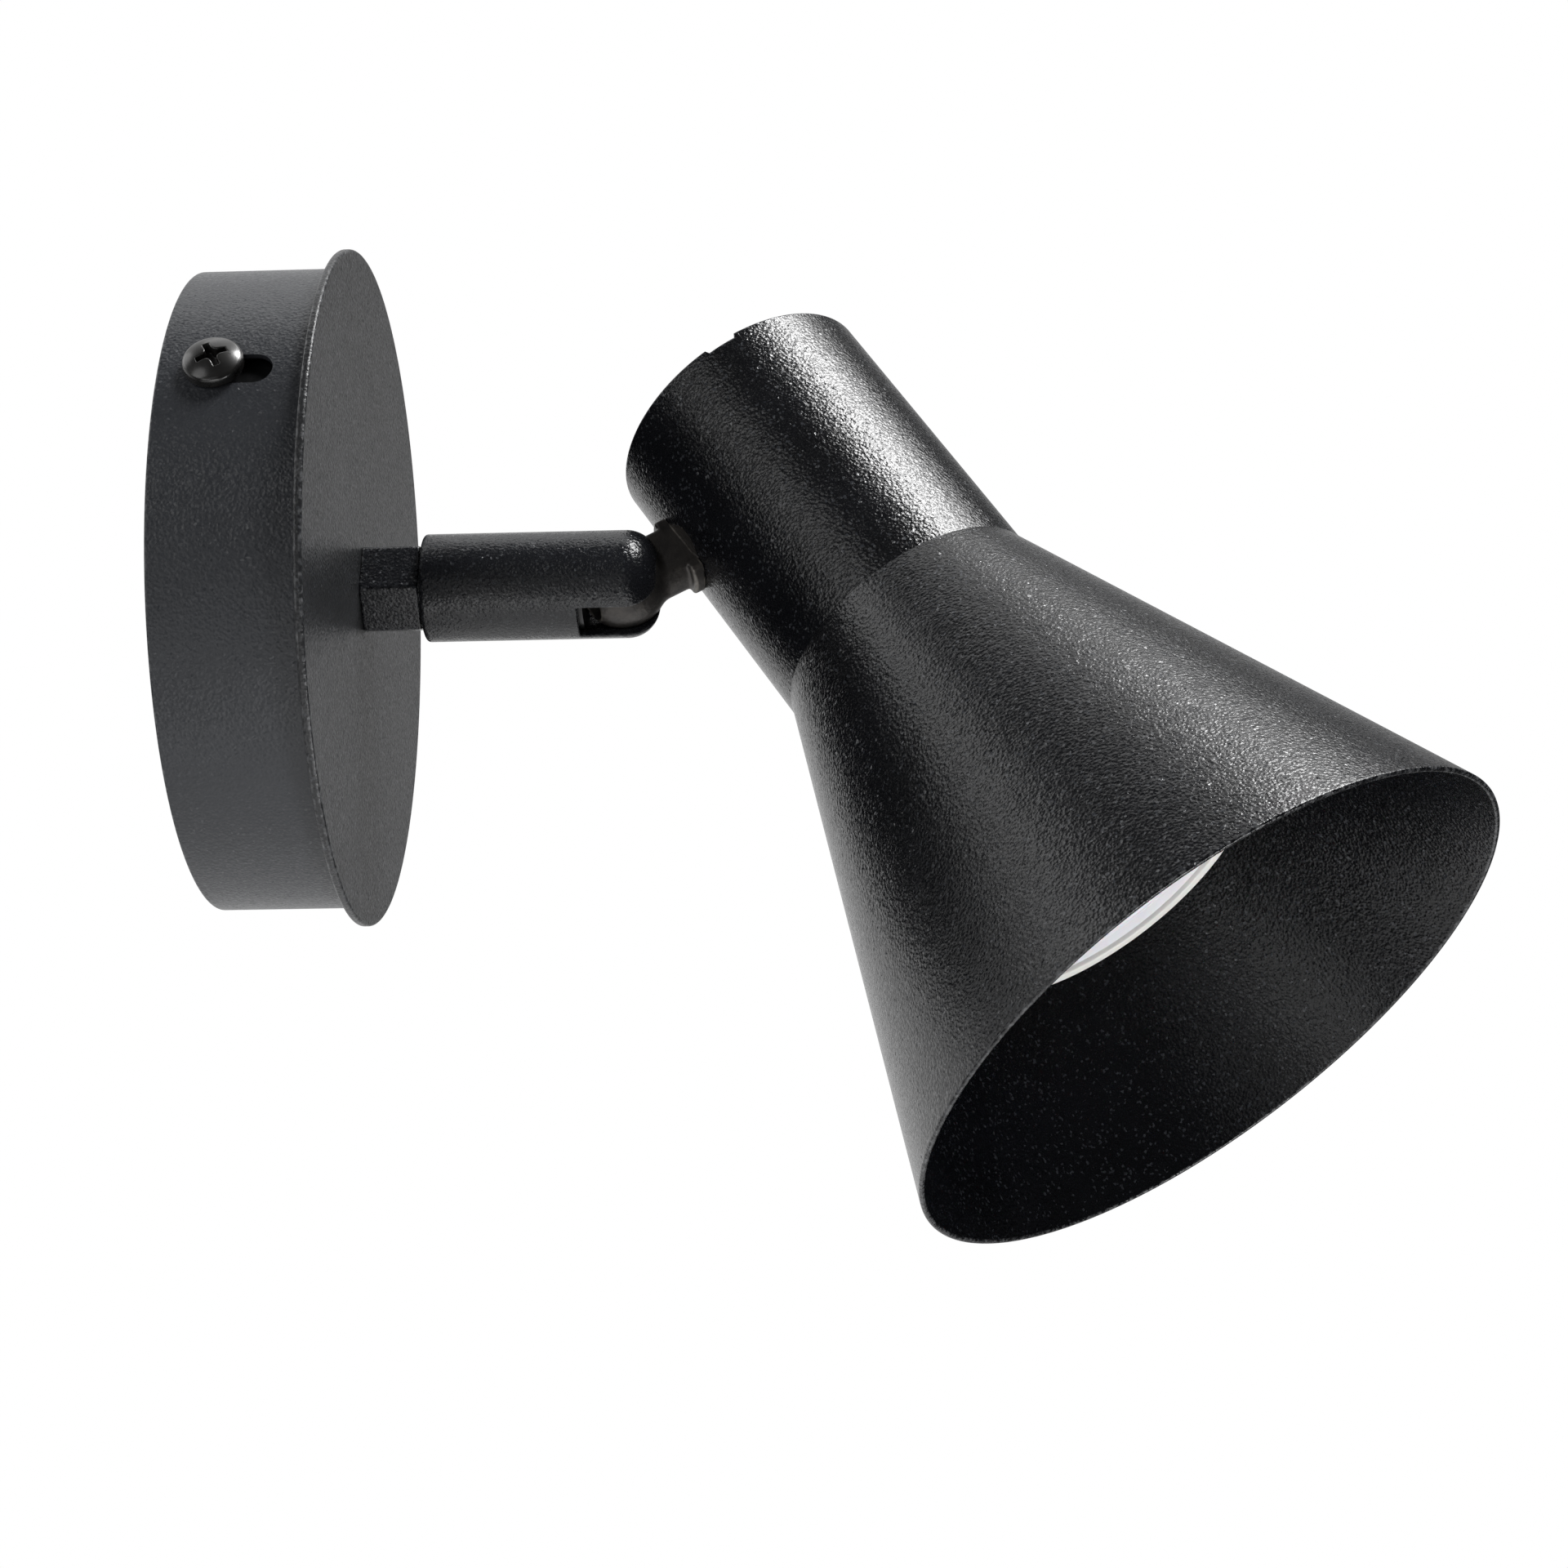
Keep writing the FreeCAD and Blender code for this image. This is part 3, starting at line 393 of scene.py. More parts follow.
HEAD_R = 4.25
HEAD_H = 2.6
HEAD_DOME = 1.1
HEAD_RIM = 0.5
SHANK_R = 2.0
SHANK_LEN = 8.0
SCREW_DEPTH = 7.9
HEAD_CELL = 0.11
WORN_REACH = 0.12
WORN_FROM = 0.8
WORN_SPAN = 3.0
WING_W = 0.95
WING_REACH = 2.35
WING_ROOT = 0.9
RECESS_DEPTH = 1.75
RECESS_TAPER = 0.22
M4_PITCH = 0.7
THREAD_DEPTH = 0.55
TURN_LEVELS = 10
DRIVE_TURN = math.radians(27)


def soft_max(a, b, k):
    """Larger of two distances, with the edge between them rounded over about k."""
    near = np.maximum(k - np.abs(a - b), 0) / k
    return np.maximum(a, b) + near * near * k / 4


def soft_min(a, b, k):
    """Smaller of two distances, with the corner between them filled over about k."""
    return -soft_max(-a, -b, k)


def cast(name, solid, low, high, step, place, rounds=3):
    """Closed mesh on the surface where solid(x, y, z), a distance in millimetres, is zero.

    Each grid cell that the surface crosses gets one point, and each grid edge that it crosses gets one
    face between the four cells round it. The points are then evened out and settled on the surface,
    and how far it bulges at each gives how worn it is.
    """
    axes = [np.arange(a, b + step, step) for a, b in zip(low, high)]
    inside = solid(*np.meshgrid(*axes, indexing="ij")) < 0
    nx, ny, nz = inside.shape
    filled = np.zeros((nx - 1, ny - 1, nz - 1), int)
    for i, j, k in np.ndindex(2, 2, 2):
        filled += inside[i:nx - 1 + i, j:ny - 1 + j, k:nz - 1 + k]
    crossed = (filled > 0) & (filled < 8)
    index = np.full(crossed.shape, -1)
    index[crossed] = np.arange(crossed.sum())
    points = np.array(low) + (np.argwhere(crossed) + 0.5) * step
    quads = []
    for axis in range(3):
        one, two = [a for a in range(3) if a != axis]
        flip = np.diff(inside.astype(np.int8), axis=axis)
        spots = np.argwhere(flip != 0)
        spots = spots[(spots[:, one] > 0) & (spots[:, two] > 0)]
        sense = flip[tuple(spots.T)] > 0
        around = []
        for d1, d2 in ((1, 1), (0, 1), (0, 0), (1, 0)):
            cell = spots.copy()
            cell[:, one] -= d1
            cell[:, two] -= d2
            around.append(index[tuple(cell.T)])
        around = np.stack(around, 1)
        if axis == 1:
            sense = ~sense
        around[sense] = around[sense][:, ::-1]
        quads.append(around)
    quads = np.concatenate(quads)
    tiny = step * 0.05
    offsets = np.eye(3) * tiny

    def settle(p):
        for _ in range(4):
            value = solid(*p.T)
            slope = np.stack([solid(*(p + o).T) - solid(*(p - o).T) for o in offsets], 1) / (2 * tiny)
            pull = value / np.maximum((slope ** 2).sum(1), 0.1)
            p = p - np.clip(pull, -step, step)[:, None] * slope
        return p

    points = settle(points)
    for _ in range(rounds):
        total, links = np.zeros_like(points), np.zeros(len(points))
        for k in range(4):
            a, b = quads[:, k], quads[:, (k + 1) % 4]
            np.add.at(total, a, points[b])
            np.add.at(total, b, points[a])
            np.add.at(links, a, 1)
            np.add.at(links, b, 1)
        points = settle(0.4 * points + 0.6 * total / links[:, None])
    probes = [way * side for way in np.eye(3) * WORN_REACH for side in (-1, 1)]
    bulge = sum(solid(*(points + probe).T) for probe in probes) / WORN_REACH ** 2
    worn = np.clip((bulge - WORN_FROM) / WORN_SPAN, 0, 1)
    return piece_of(name, points.tolist(), quads.tolist(), place, worn.tolist())


def pan_head(x, y, z):
    """Domed head with a cross recess, its axis on Z, seat at 0 and the dome upwards."""
    dome_r = (HEAD_R ** 2 + HEAD_DOME ** 2) / (2 * HEAD_DOME)
    radial = np.hypot(x, y)
    dome = np.sqrt(radial ** 2 + (z - HEAD_H + dome_r) ** 2) - dome_r
    head = soft_max(soft_max(radial - HEAD_R, dome, HEAD_RIM), -z, 0.25)
    shrink = RECESS_TAPER * (HEAD_H - z)
    wing_x = np.maximum(np.abs(x) - WING_REACH + 1.6 * shrink, np.abs(y) - WING_W / 2 + 0.3 * shrink)
    wing_y = np.maximum(np.abs(y) - WING_REACH + 1.6 * shrink, np.abs(x) - WING_W / 2 + 0.3 * shrink)
    cross = soft_min(wing_x, wing_y, WING_ROOT)
    recess = np.maximum(cross, HEAD_H - RECESS_DEPTH - z)
    return soft_max(head, -recess, 0.16)


def thread(name, radius, length, pitch, place, ring=40):
    """Rolled thread on its own Z from 0 down to -length, as one spiral ridge that tapers at the tip."""
    levels = int(length / pitch * TURN_LEVELS)
    points, faces = [], []
    for i in range(levels + 1):
        height = -length * i / levels
        fade = min(1.0, (length + height) / pitch)
        for k in range(ring):
            turn = k / ring
            wave = abs(((height / pitch + turn) % 1.0) * 2 - 1)
            r = radius - THREAD_DEPTH * pitch * wave - (1 - fade) * pitch * 0.6
            points.append((r * math.cos(2 * math.pi * turn), r * math.sin(2 * math.pi * turn), height))
    for i in range(levels):
        for k in range(ring):
            n = (k + 1) % ring
            faces.append([i * ring + k, (i + 1) * ring + k, (i + 1) * ring + n, i * ring + n])
    faces.append(list(range(ring)))
    faces.append([levels * ring + k for k in range(ring - 1, -1, -1)])
    return piece_of(name, points, faces, place)


# Black passivated steel: a smooth dark film with oil on it, so it shows the lights as soft spots.
black_passivate, tree = finish("black_passivated_steel")
place = add(tree, "TexCoord").outputs["Object"]
smear = add(tree, "TexNoise", Vector=place, Scale=1 / (1.8 * MM), Detail=4.0).outputs["Fac"]
tint = add(tree, "ValToRGB", Fac=smear)
tint.color_ramp.elements[0].color = colour("141414")
tint.color_ramp.elements[1].color = colour("262524")
gloss = add(tree, "MapRange", Value=smear, To_Min=0.22, To_Max=0.36).outputs["Result"]
relief = add(tree, "Bump", Height=smear, Strength=0.2, Distance=0.03 * MM).outputs["Normal"]
shader = add(tree, "BsdfPrincipled", Base_Color=tint.outputs["Color"], Roughness=gloss, Normal=relief)
shader.inputs["Metallic"].default_value = 0.35
shader.inputs["Coat Weight"].default_value = 0.5
shader.inputs["Coat Roughness"].default_value = 0.18
add(tree, "OutputMaterial", Surface=shader.outputs["BSDF"])

for name, side in SIDES:
    seat = Matrix.Rotation(EAR_TURN + side, 4, "Y") @ Matrix.Translation((DRUM_R * MM, -SCREW_DEPTH * MM, 0))
    seat = seat @ Matrix.Rotation(math.pi / 2, 4, "Y") @ Matrix.Rotation(DRIVE_TURN, 4, "Z")
    head = cast("canopy_screw_head_" + name, pan_head, (-4.8, -4.8, -0.5), (4.8, 4.8, 3.1), HEAD_CELL, seat)
    shank = thread("canopy_screw_thread_" + name, SHANK_R, SHANK_LEN, M4_PITCH, seat)
    for piece in (head, shank):
        dress(piece, black_passivate, 50)
        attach(piece, "canopy")
    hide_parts("canopy_screw_" + name)

# ---- Arm root ---------------------------------------------------------------
# Hexagon bar turned down to a threaded tail behind the plate and a spigot inside the barrel.
# A toothed washer and a hexagon nut clamp it to the plate; a ring keeps the barrel on.

HEX_FLAT = 12.3
HEX_BACK = PLATE_FRONT
HEX_FRONT = 30.6
HEX_TURN = math.radians(1.6)
TAIL_BACK = 11.0
TAIL_SEGMENTS = 64
M10_R = 5.0
M10_PITCH = 1.0
WIREWAY = 3.2
SPIGOT_FRONT = 41.5
HEX_CELL = 0.22


def hexagon_bar(x, y, z):
    """Hexagon between the plate and the barrel; z is the depth in front of the wall."""
    across = np.full_like(x, -1e9)
    for k in range(3):
        turn = HEX_TURN + math.radians(30 + 60 * k)
        across = soft_max(across, np.abs(x * math.cos(turn) + y * math.sin(turn)) - HEX_FLAT / 2, 0.35)
    ends = np.abs(z - (HEX_BACK + HEX_FRONT) / 2) - (HEX_FRONT - HEX_BACK) / 2
    bar = soft_max(across, ends, 0.3)
    return soft_max(bar, WIREWAY - np.hypot(x, y), 0.2)


# The arm's copy of the black powder has a lighter base colour than the shade's: painted light, set for how
# bright the hexagon and barrel look.
root_coat_painted_light = powder_coat("black_powder_coat_arm_painted_light", "16171b", "1e2024", 0.45, 0.055, 0.2, 0.3)
hexagon = cast("arm_root_hexagon", hexagon_bar, (-7.6, -7.6, 21.5), (7.6, 7.6, 31.1), HEX_CELL, TO_ROOM)
dress(hexagon, root_coat_painted_light, 60)
tail_place = TO_ROOM @ Matrix.Translation((0, 0, HEX_BACK * MM))
tail = thread("arm_root_tail", M10_R, HEX_BACK - TAIL_BACK, M10_PITCH, tail_place, ring=TAIL_SEGMENTS)
dress(tail, zinc_plate, 50)
spigot_outline = rolled([
    (M10_R, HEX_FRONT, 0.1), (M10_R, SPIGOT_FRONT, 0.3), (WIREWAY, SPIGOT_FRONT, 0.3),
    (WIREWAY, HEX_FRONT, 0.1)])
spigot = spun("arm_root_spigot", spigot_outline, TAIL_SEGMENTS, TO_ROOM)
dress(spigot, zinc_plate)
for piece in (hexagon, tail, spigot):
    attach(piece, "canopy")
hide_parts("arm_root")
for name in ("root_lock_washer", "root_lock_nut", "retaining_ring"):
    dress(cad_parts[name], zinc_plate)

# ---- Swivel barrel ----------------------------------------------------------
# Turned steel tube with a domed nose and a ball socket, slotted across for the knuckle.
# It turns on the root's spigot. Same powder as the arm root, rubbed over the slot's edges.

BARREL_R = 8.0
BARREL_BACK = 30.9
BARREL_TIP = 65.6
BARREL_BACK_EDGE = 0.6
NOSE_R = 4.8
SOCKET_R = 6.65
PIVOT_DEPTH = 60.2
NOSE_SLOT = 6.2
NOSE_SLOT_BACK = 54.0
BARREL_CELL = 0.24
PAN = math.radians(37.8)


def barrel_tube(x, y, z):
    """Barrel with its slot upright; z is the depth in front of the wall."""
    radial = np.hypot(x, y)
    middle = (BARREL_BACK + BARREL_TIP) / 2
    edge = np.where(z > middle, NOSE_R, BARREL_BACK_EDGE)
    out = radial - BARREL_R + edge
    along = np.abs(z - middle) - (BARREL_TIP - BARREL_BACK) / 2 + edge
    body = np.hypot(np.maximum(out, 0), np.maximum(along, 0)) + np.minimum(np.maximum(out, along), 0) - edge
    socket = np.sqrt(radial ** 2 + np.maximum(z - PIVOT_DEPTH, 0) ** 2) - SOCKET_R
    slot = soft_max(np.abs(x) - NOSE_SLOT / 2, NOSE_SLOT_BACK - z, 0.3)
    return soft_max(soft_max(body, -socket, 0.25), -slot, 0.35)


barrel = cast("swivel_barrel", barrel_tube, (-8.6, -8.6, 30.3), (8.6, 8.6, 66.3), BARREL_CELL,
              Matrix.Rotation(PAN, 4, "Y") @ TO_ROOM)
dress(barrel, root_coat_painted_light, 60)
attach(barrel, "arm")
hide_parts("barrel")

# Acetal, for the bush, the spring's seat and the cup that rubs on the ball: dense black plastic
# with an oily half gloss. The coil spring between them is plated steel.
acetal, tree = finish("turned_acetal")
place = add(tree, "TexCoord").outputs["Object"]
rings = add(tree, "TexNoise", Vector=place, Scale=1 / (0.6 * MM), Detail=3.0).outputs["Fac"]
tint = add(tree, "ValToRGB", Fac=rings)
tint.color_ramp.elements[0].color = colour("101112")
tint.color_ramp.elements[1].color = colour("1b1c1d")
gloss = add(tree, "MapRange", Value=rings, To_Min=0.3, To_Max=0.42).outputs["Result"]
relief = add(tree, "Bump", Height=rings, Strength=0.15, Distance=0.015 * MM).outputs["Normal"]
shader = add(tree, "BsdfPrincipled", Base_Color=tint.outputs["Color"], Roughness=gloss, Normal=relief)
add(tree, "OutputMaterial", Surface=shader.outputs["BSDF"])
for name in ("barrel_bush", "spring_seat", "friction_cup"):
    dress(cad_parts[name], acetal)
dress(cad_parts["friction_spring"], zinc_plate, 60)

# ---- Knuckle ----------------------------------------------------------------
# Forged and milled steel: a ball, a neck with two flats, a flange saddled to the shade, a tail.
# Black oxide, oiled; the corners of the neck and flange are rubbed brighter, and film and corners are drawn
# lighter than real oxide as painted light.

TILT = math.radians(-32.7)
SHADE_TURN = math.radians(-5.6)
BALL_R = 6.6
NECK_R = 5.0
NECK_FLAT = 5.6
FLANGE_R = 6.25
FLANGE_T = 1.8
SHADE_R = 20.95
STEM_LEN = 10.59
SHADE_AXIS = SHADE_R + STEM_LEN
TAIL_END = 18.4
LEAD_BORE = 2.0
FUNNEL_R = 3.7
FUNNEL_FALL = 0.51
FUNNEL_SLANT = 0.89
CORE_R = 4.6
CORE_HALF = 4.0
KNUCKLE_CELL = 0.19
STEM_PLACE = Matrix.Translation((0, -PIVOT_DEPTH * MM, 0)) @ Matrix.Rotation(PAN, 4, "Y")
STEM_PLACE = STEM_PLACE @ Matrix.Rotation(TILT, 4, "X")


def knuckle_form(x, y, z):
    """Knuckle about its ball, with the stem along z and the shade's axis nearly along y.

    The core joins neck and tail inside the flange, and the funnel lets the leads into the ball.
    """
    radial = np.hypot(x, y)
    ball = np.sqrt(radial ** 2 + z ** 2) - BALL_R
    side = x * math.cos(SHADE_TURN) - y * math.sin(SHADE_TURN)
    shade_bar = np.hypot(side, z - SHADE_AXIS) - SHADE_R
    flats = np.abs(x) - NECK_FLAT / 2
    neck = soft_max(radial - NECK_R, -z, 0.2)
    flange = soft_max(radial - FLANGE_R, STEM_LEN - FLANGE_T - z, 0.5)
    stem = soft_max(soft_min(neck, flange, 0.5), flats, 0.4)
    stem = soft_max(stem, -shade_bar, 0.3)
    tail = soft_max(soft_max(radial - M10_R + 0.05, shade_bar, 0.2), z - TAIL_END, 0.6)
    core = np.maximum(np.maximum(radial - CORE_R, flats + 0.3), np.abs(z - STEM_LEN) - CORE_HALF)
    body = np.minimum(np.minimum(soft_min(ball, stem, 0.7), tail), core)
    funnel = (radial - FUNNEL_R + (z + BALL_R) * FUNNEL_FALL) * FUNNEL_SLANT
    bore = np.minimum(radial - LEAD_BORE, np.maximum(funnel, z + BALL_R / 2))
    return soft_max(body, -bore, 0.25)


# Black oxide on steel: a thin dark brown film over a grainy forged skin, bare grey on its corners. The film's
# pale end and the bare grey are lighter than real black oxide: painted light, for the light and glints that
# the shade keeps off the knuckle; the bare corners are also wear.
oxide, tree = finish("black_oxide_steel_painted_light")
place = add(tree, "TexCoord").outputs["Object"]
pits = add(tree, "TexNoise", Vector=place, Scale=1 / (0.5 * MM), Detail=4.0, Roughness=0.6).outputs["Fac"]
patch = add(tree, "TexNoise", Vector=place, Scale=1 / (2.2 * MM), Detail=4.0).outputs["Fac"]
rub = add(tree, "Attribute", {"attribute_name": "worn"}).outputs["Fac"]
film = add(tree, "ValToRGB", Fac=patch)
film.color_ramp.elements[0].color = colour("222224")
film.color_ramp.elements[1].color = colour("5a5652")
bare = add(tree, "MapRange", Value=patch, From_Min=0.4, From_Max=0.65, To_Max=0.8).outputs["Result"]
wear_and_painted_glint = add(tree, "Math", {"operation": "MULTIPLY"}, _0=rub, _1=bare).outputs["Value"]
shown = add(tree, "Mix", {"data_type": "RGBA"}, _0=wear_and_painted_glint, _6=film.outputs["Color"], _7=colour("b8b2a9"))
gloss = add(tree, "MapRange", Value=pits, From_Min=0.3, From_Max=0.7, To_Min=0.28, To_Max=0.5)
relief = add(tree, "Bump", Height=pits, Strength=0.8, Distance=0.07 * MM).outputs["Normal"]
shader = add(tree, "BsdfPrincipled", Base_Color=shown.outputs[2], Roughness=gloss.outputs["Result"],
             Normal=relief)
shader.inputs["Metallic"].default_value = 0.6
add(tree, "OutputMaterial", Surface=shader.outputs["BSDF"])

knuckle = cast("knuckle_forging", knuckle_form, (-7.2, -7.2, -7.2), (7.2, 7.2, 19.0), KNUCKLE_CELL,
               STEM_PLACE @ TO_ROOM)
dress(knuckle, oxide, 60)
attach(knuckle, "head")
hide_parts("knuckle")

# ---- Shade ------------------------------------------------------------------
# Straight tube and flared cone of 0.8 mm steel, seam-welded at the crease and dressed flush.
# The back edge has a shallow notch. Powder coated inside and out in textured black.

SLEEVE_LEN = 47.35
CONE_LEN = 75.75
MOUTH_R = 48.15
SHEET = 0.8
CREASE_DROP = 29.94
CREASE_UNWORN = 1.5
BACK_EDGE = 0.6
NOTCH_W = 5.0
NOTCH_DEPTH = 0.7
NOTCH_AT = math.radians(-169)
SHADE_SEGMENTS = 360
CREASE = Matrix.Translation((0, -SHADE_AXIS * MM, -CREASE_DROP * MM))
SHADE_PLACE = STEM_PLACE @ Matrix.Rotation(SHADE_TURN, 4, "Y") @ CREASE @ Matrix.Rotation(math.pi, 4, "X")

slope = (MOUTH_R - SHADE_R) / CONE_LEN
wall = SHEET * math.sqrt(1 + slope ** 2)
# The shade's copy of the black powder has the darkest base colour: painted shade, set for how dark the shade
# and its inside look.
shade_coat_painted_shade = powder_coat("black_powder_coat_shade_painted_shade", "090a0d", "0f1014", 0.48, 0.06, 0.18, 0.3)
shade_outline = rolled([
    (SHADE_R, -SLEEVE_LEN, 0.25), (SHADE_R, 0, 0.25), (MOUTH_R, CONE_LEN, 0.3),
    (MOUTH_R - wall, CONE_LEN, 0.3), (SHADE_R - SHEET, (wall - SHEET) / slope, 0.5),
    (SHADE_R - SHEET, -SLEEVE_LEN, 0.25)])
shade_outline = [(r, q, rub if abs(q) > CREASE_UNWORN else 0.0) for r, q, rub in shade_outline]
shade = spun("shade_skin", shade_outline, SHADE_SEGMENTS, SHADE_PLACE)
back = SHADE_PLACE.inverted()
for vertex in shade.data.vertices:
    spot = back @ vertex.co / MM
    across = (math.atan2(spot.y, spot.x) - NOTCH_AT + math.pi) % (2 * math.pi) - math.pi
    if spot.z < -SLEEVE_LEN + BACK_EDGE and abs(across) * SHADE_R < NOTCH_W / 2:
        vertex.co = SHADE_PLACE @ ((spot + Vector((0, 0, NOTCH_DEPTH))) * MM)
dress(shade, shade_coat_painted_shade)
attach(shade, "head")
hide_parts("shade_sleeve", "shade_cone")

# ---- Rear cap ---------------------------------------------------------------
# Shallow cap drawn from 0.8 mm steel, pressed in 1 mm below the shade's back edge.
# It closes the back of the shade and carries the same powder coat.

CAP_R = 20.15
CAP_FACE = -46.35
CAP_SKIRT = 4.5
CAP_SEGMENTS = 180
cap_outline = rolled([
    (CAP_R, CAP_FACE, 0.7), (CAP_R, CAP_FACE + CAP_SKIRT, 0.15), (CAP_R - SHEET, CAP_FACE + CAP_SKIRT, 0.15),
    (CAP_R - SHEET, CAP_FACE + SHEET, 0.2), (0, CAP_FACE + SHEET, 0), (0, CAP_FACE, 0)])
cap = spun("rear_cap_pressing", cap_outline, CAP_SEGMENTS, SHADE_PLACE)
dress(cap, shade_coat_painted_shade)
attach(cap, "head")
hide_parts("rear_cap")

# ---- Fixings in the shade ---------------------------------------------------
# Saddle washer, angle strap, toothed washer and nut on the knuckle's tail, of zinc-plated steel.
# They clamp the shade to the knuckle, and two screws hold the lampholder on the strap.

for name in ("saddle_washer", "lampholder_strap", "tail_lock_washer", "tail_lock_nut"):
    dress(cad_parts[name], zinc_plate)
for number in (1, 2):
    dress(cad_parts["holder_screw_%d" % number], zinc_plate)

# ---- Lampholder -------------------------------------------------------------
# Body of pressed and fired steatite, unglazed, with two keyhole channels for the lamp's pins.
# It hangs on the angle strap, and the lamp turns into it.

# Steatite: dense cream ceramic, matt, with fine grey specks.
steatite, tree = finish("pressed_steatite")
place = add(tree, "TexCoord").outputs["Object"]
grains = add(tree, "TexNoise", Vector=place, Scale=1 / (0.4 * MM), Detail=4.0).outputs["Fac"]
tint = add(tree, "ValToRGB", Fac=grains)
tint.color_ramp.elements[0].color = colour("b9b09c")
tint.color_ramp.elements[1].color = colour("e2dccb")
tint.color_ramp.elements[0].position = 0.3
gloss = add(tree, "MapRange", Value=grains, To_Min=0.5, To_Max=0.7).outputs["Result"]
relief = add(tree, "Bump", Height=grains, Strength=0.3, Distance=0.03 * MM).outputs["Normal"]
shader = add(tree, "BsdfPrincipled", Base_Color=tint.outputs["Color"], Roughness=gloss, Normal=relief)
add(tree, "OutputMaterial", Surface=shader.outputs["BSDF"])
dress(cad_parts["lampholder"], steatite)

# ---- Reflector lamp ---------------------------------------------------------
# White lamp housing moulded in PBT, a broad front rim, a frosted polycarbonate lens, two pins.
# The rim shows under the shade's edge as a pale ring.

LAMP_BASE = -5.0
LAMP_BASE_R = 9.0
LAMP_NECK = 4.5
LAMP_NECK_R = 10.5
LAMP_BELL = 12.0
LAMP_BELL_R = 13.0
LAMP_FRONT = 49.7
LAMP_RIM = 5.0
LAMP_RIM_R = 25.0
LAMP_WALL = 1.6
LAMP_SEGMENTS = 144
LENS_R = 22.9
LENS_RECESS = 0.6
LENS_T = 1.6
LENS_STEP_R = 19.5
LENS_STEP = 0.3

# PBT: opaque warm white plastic, satin from a fine spark-eroded mould.
housing, tree = finish("moulded_white_pbt")
place = add(tree, "TexCoord").outputs["Object"]
flow = add(tree, "TexNoise", Vector=place, Scale=1 / (8 * MM), Detail=2.0).outputs["Fac"]
tint = add(tree, "ValToRGB", Fac=flow)
tint.color_ramp.elements[0].color = colour("efeee8")
tint.color_ramp.elements[1].color = colour("f8f7f3")
spark = add(tree, "TexNoise", Vector=place, Scale=1 / (0.25 * MM), Detail=2.0).outputs["Fac"]
gloss = add(tree, "MapRange", Value=spark, To_Min=0.34, To_Max=0.48).outputs["Result"]
relief = add(tree, "Bump", Height=spark, Strength=0.15, Distance=0.015 * MM).outputs["Normal"]
shader = add(tree, "BsdfPrincipled", Base_Color=tint.outputs["Color"], Roughness=gloss, Normal=relief)
shader.inputs["Subsurface Weight"].default_value = 0.1
shader.inputs["Subsurface Scale"].default_value = 0.6 * MM
add(tree, "OutputMaterial", Surface=shader.outputs["BSDF"])

# Frosted polycarbonate: cool white, evenly diffusing, with a soft sheen on the face.
lens_frost, tree = finish("frosted_polycarbonate")
place = add(tree, "TexCoord").outputs["Object"]
frost = add(tree, "TexNoise", Vector=place, Scale=1 / (0.3 * MM), Detail=2.0).outputs["Fac"]
tint = add(tree, "ValToRGB", Fac=frost)
tint.color_ramp.elements[0].color = colour("ececf3")
tint.color_ramp.elements[1].color = colour("f4f4f9")
gloss = add(tree, "MapRange", Value=frost, To_Min=0.3, To_Max=0.42).outputs["Result"]
relief = add(tree, "Bump", Height=frost, Strength=0.1, Distance=0.01 * MM).outputs["Normal"]
shader = add(tree, "BsdfPrincipled", Base_Color=tint.outputs["Color"], Roughness=gloss, Normal=relief)
shader.inputs["IOR"].default_value = 1.58
shader.inputs["Subsurface Weight"].default_value = 0.3
shader.inputs["Subsurface Scale"].default_value = 1.0 * MM
add(tree, "OutputMaterial", Surface=shader.outputs["BSDF"])

lens_face = LAMP_FRONT - LENS_RECESS
lens_floor = LAMP_FRONT - LENS_RECESS - LENS_T
rim_back = LAMP_FRONT - LAMP_RIM
lamp_outline = rolled([
    (0, LAMP_BASE, 0), (LAMP_BASE_R, LAMP_BASE, 0.6), (LAMP_BASE_R, 3.0, 0.2),
    (LAMP_NECK_R, LAMP_NECK, 0.4), (LAMP_BELL_R, LAMP_BELL, 1.0), (LAMP_RIM_R - LAMP_WALL, rim_back, 0.3),
    (LAMP_RIM_R, rim_back, 0.4), (LAMP_RIM_R, LAMP_FRONT, 0.7), (LENS_R, LAMP_FRONT, 0.25),
    (LENS_R, lens_floor, 0.1), (LENS_R - LAMP_WALL, lens_floor, 0.1), (LENS_R - LAMP_WALL, rim_back, 0.3),
    (LAMP_BELL_R - LAMP_WALL, LAMP_BELL, 0.5), (LAMP_NECK_R - LAMP_WALL, LAMP_NECK, 0.3), (0, LAMP_NECK, 0)])
lamp = spun("lamp_housing", lamp_outline, LAMP_SEGMENTS, SHADE_PLACE)
dress(lamp, housing)
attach(lamp, "lamp")
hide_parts("lamp_body")

lens_outline = rolled([
    (0, lens_floor, 0), (LENS_R - 0.05, lens_floor, 0.2), (LENS_R - 0.05, lens_face, 0.4),
    (LENS_STEP_R, lens_face, 0.2), (LENS_STEP_R - LENS_STEP, lens_face - LENS_STEP, 0.2),
    (0, lens_face - LENS_STEP, 0)])
lens = spun("lamp_diffuser", lens_outline, LAMP_SEGMENTS, SHADE_PLACE)
dress(lens, lens_frost)
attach(lens, "lamp")
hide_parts("lamp_lens")
for number in (1, 2):
    dress(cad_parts["lamp_pin_%d" % number], nickel_brass)

# ---- Studio -----------------------------------------------------------------
# Pale floor 0.9 m below, mirrored at half strength, and a white backdrop that gloss mirrors only on the
# side beyond the lamp. Soft round panels 1.2 m from the lamp: their ways and powers began as a fit to the
# photograph's brightness by another program, and were then merged, rounded and moved by hand.
# Each panel has a name, the way it lies from the lamp, its width in metres and its power in watts.

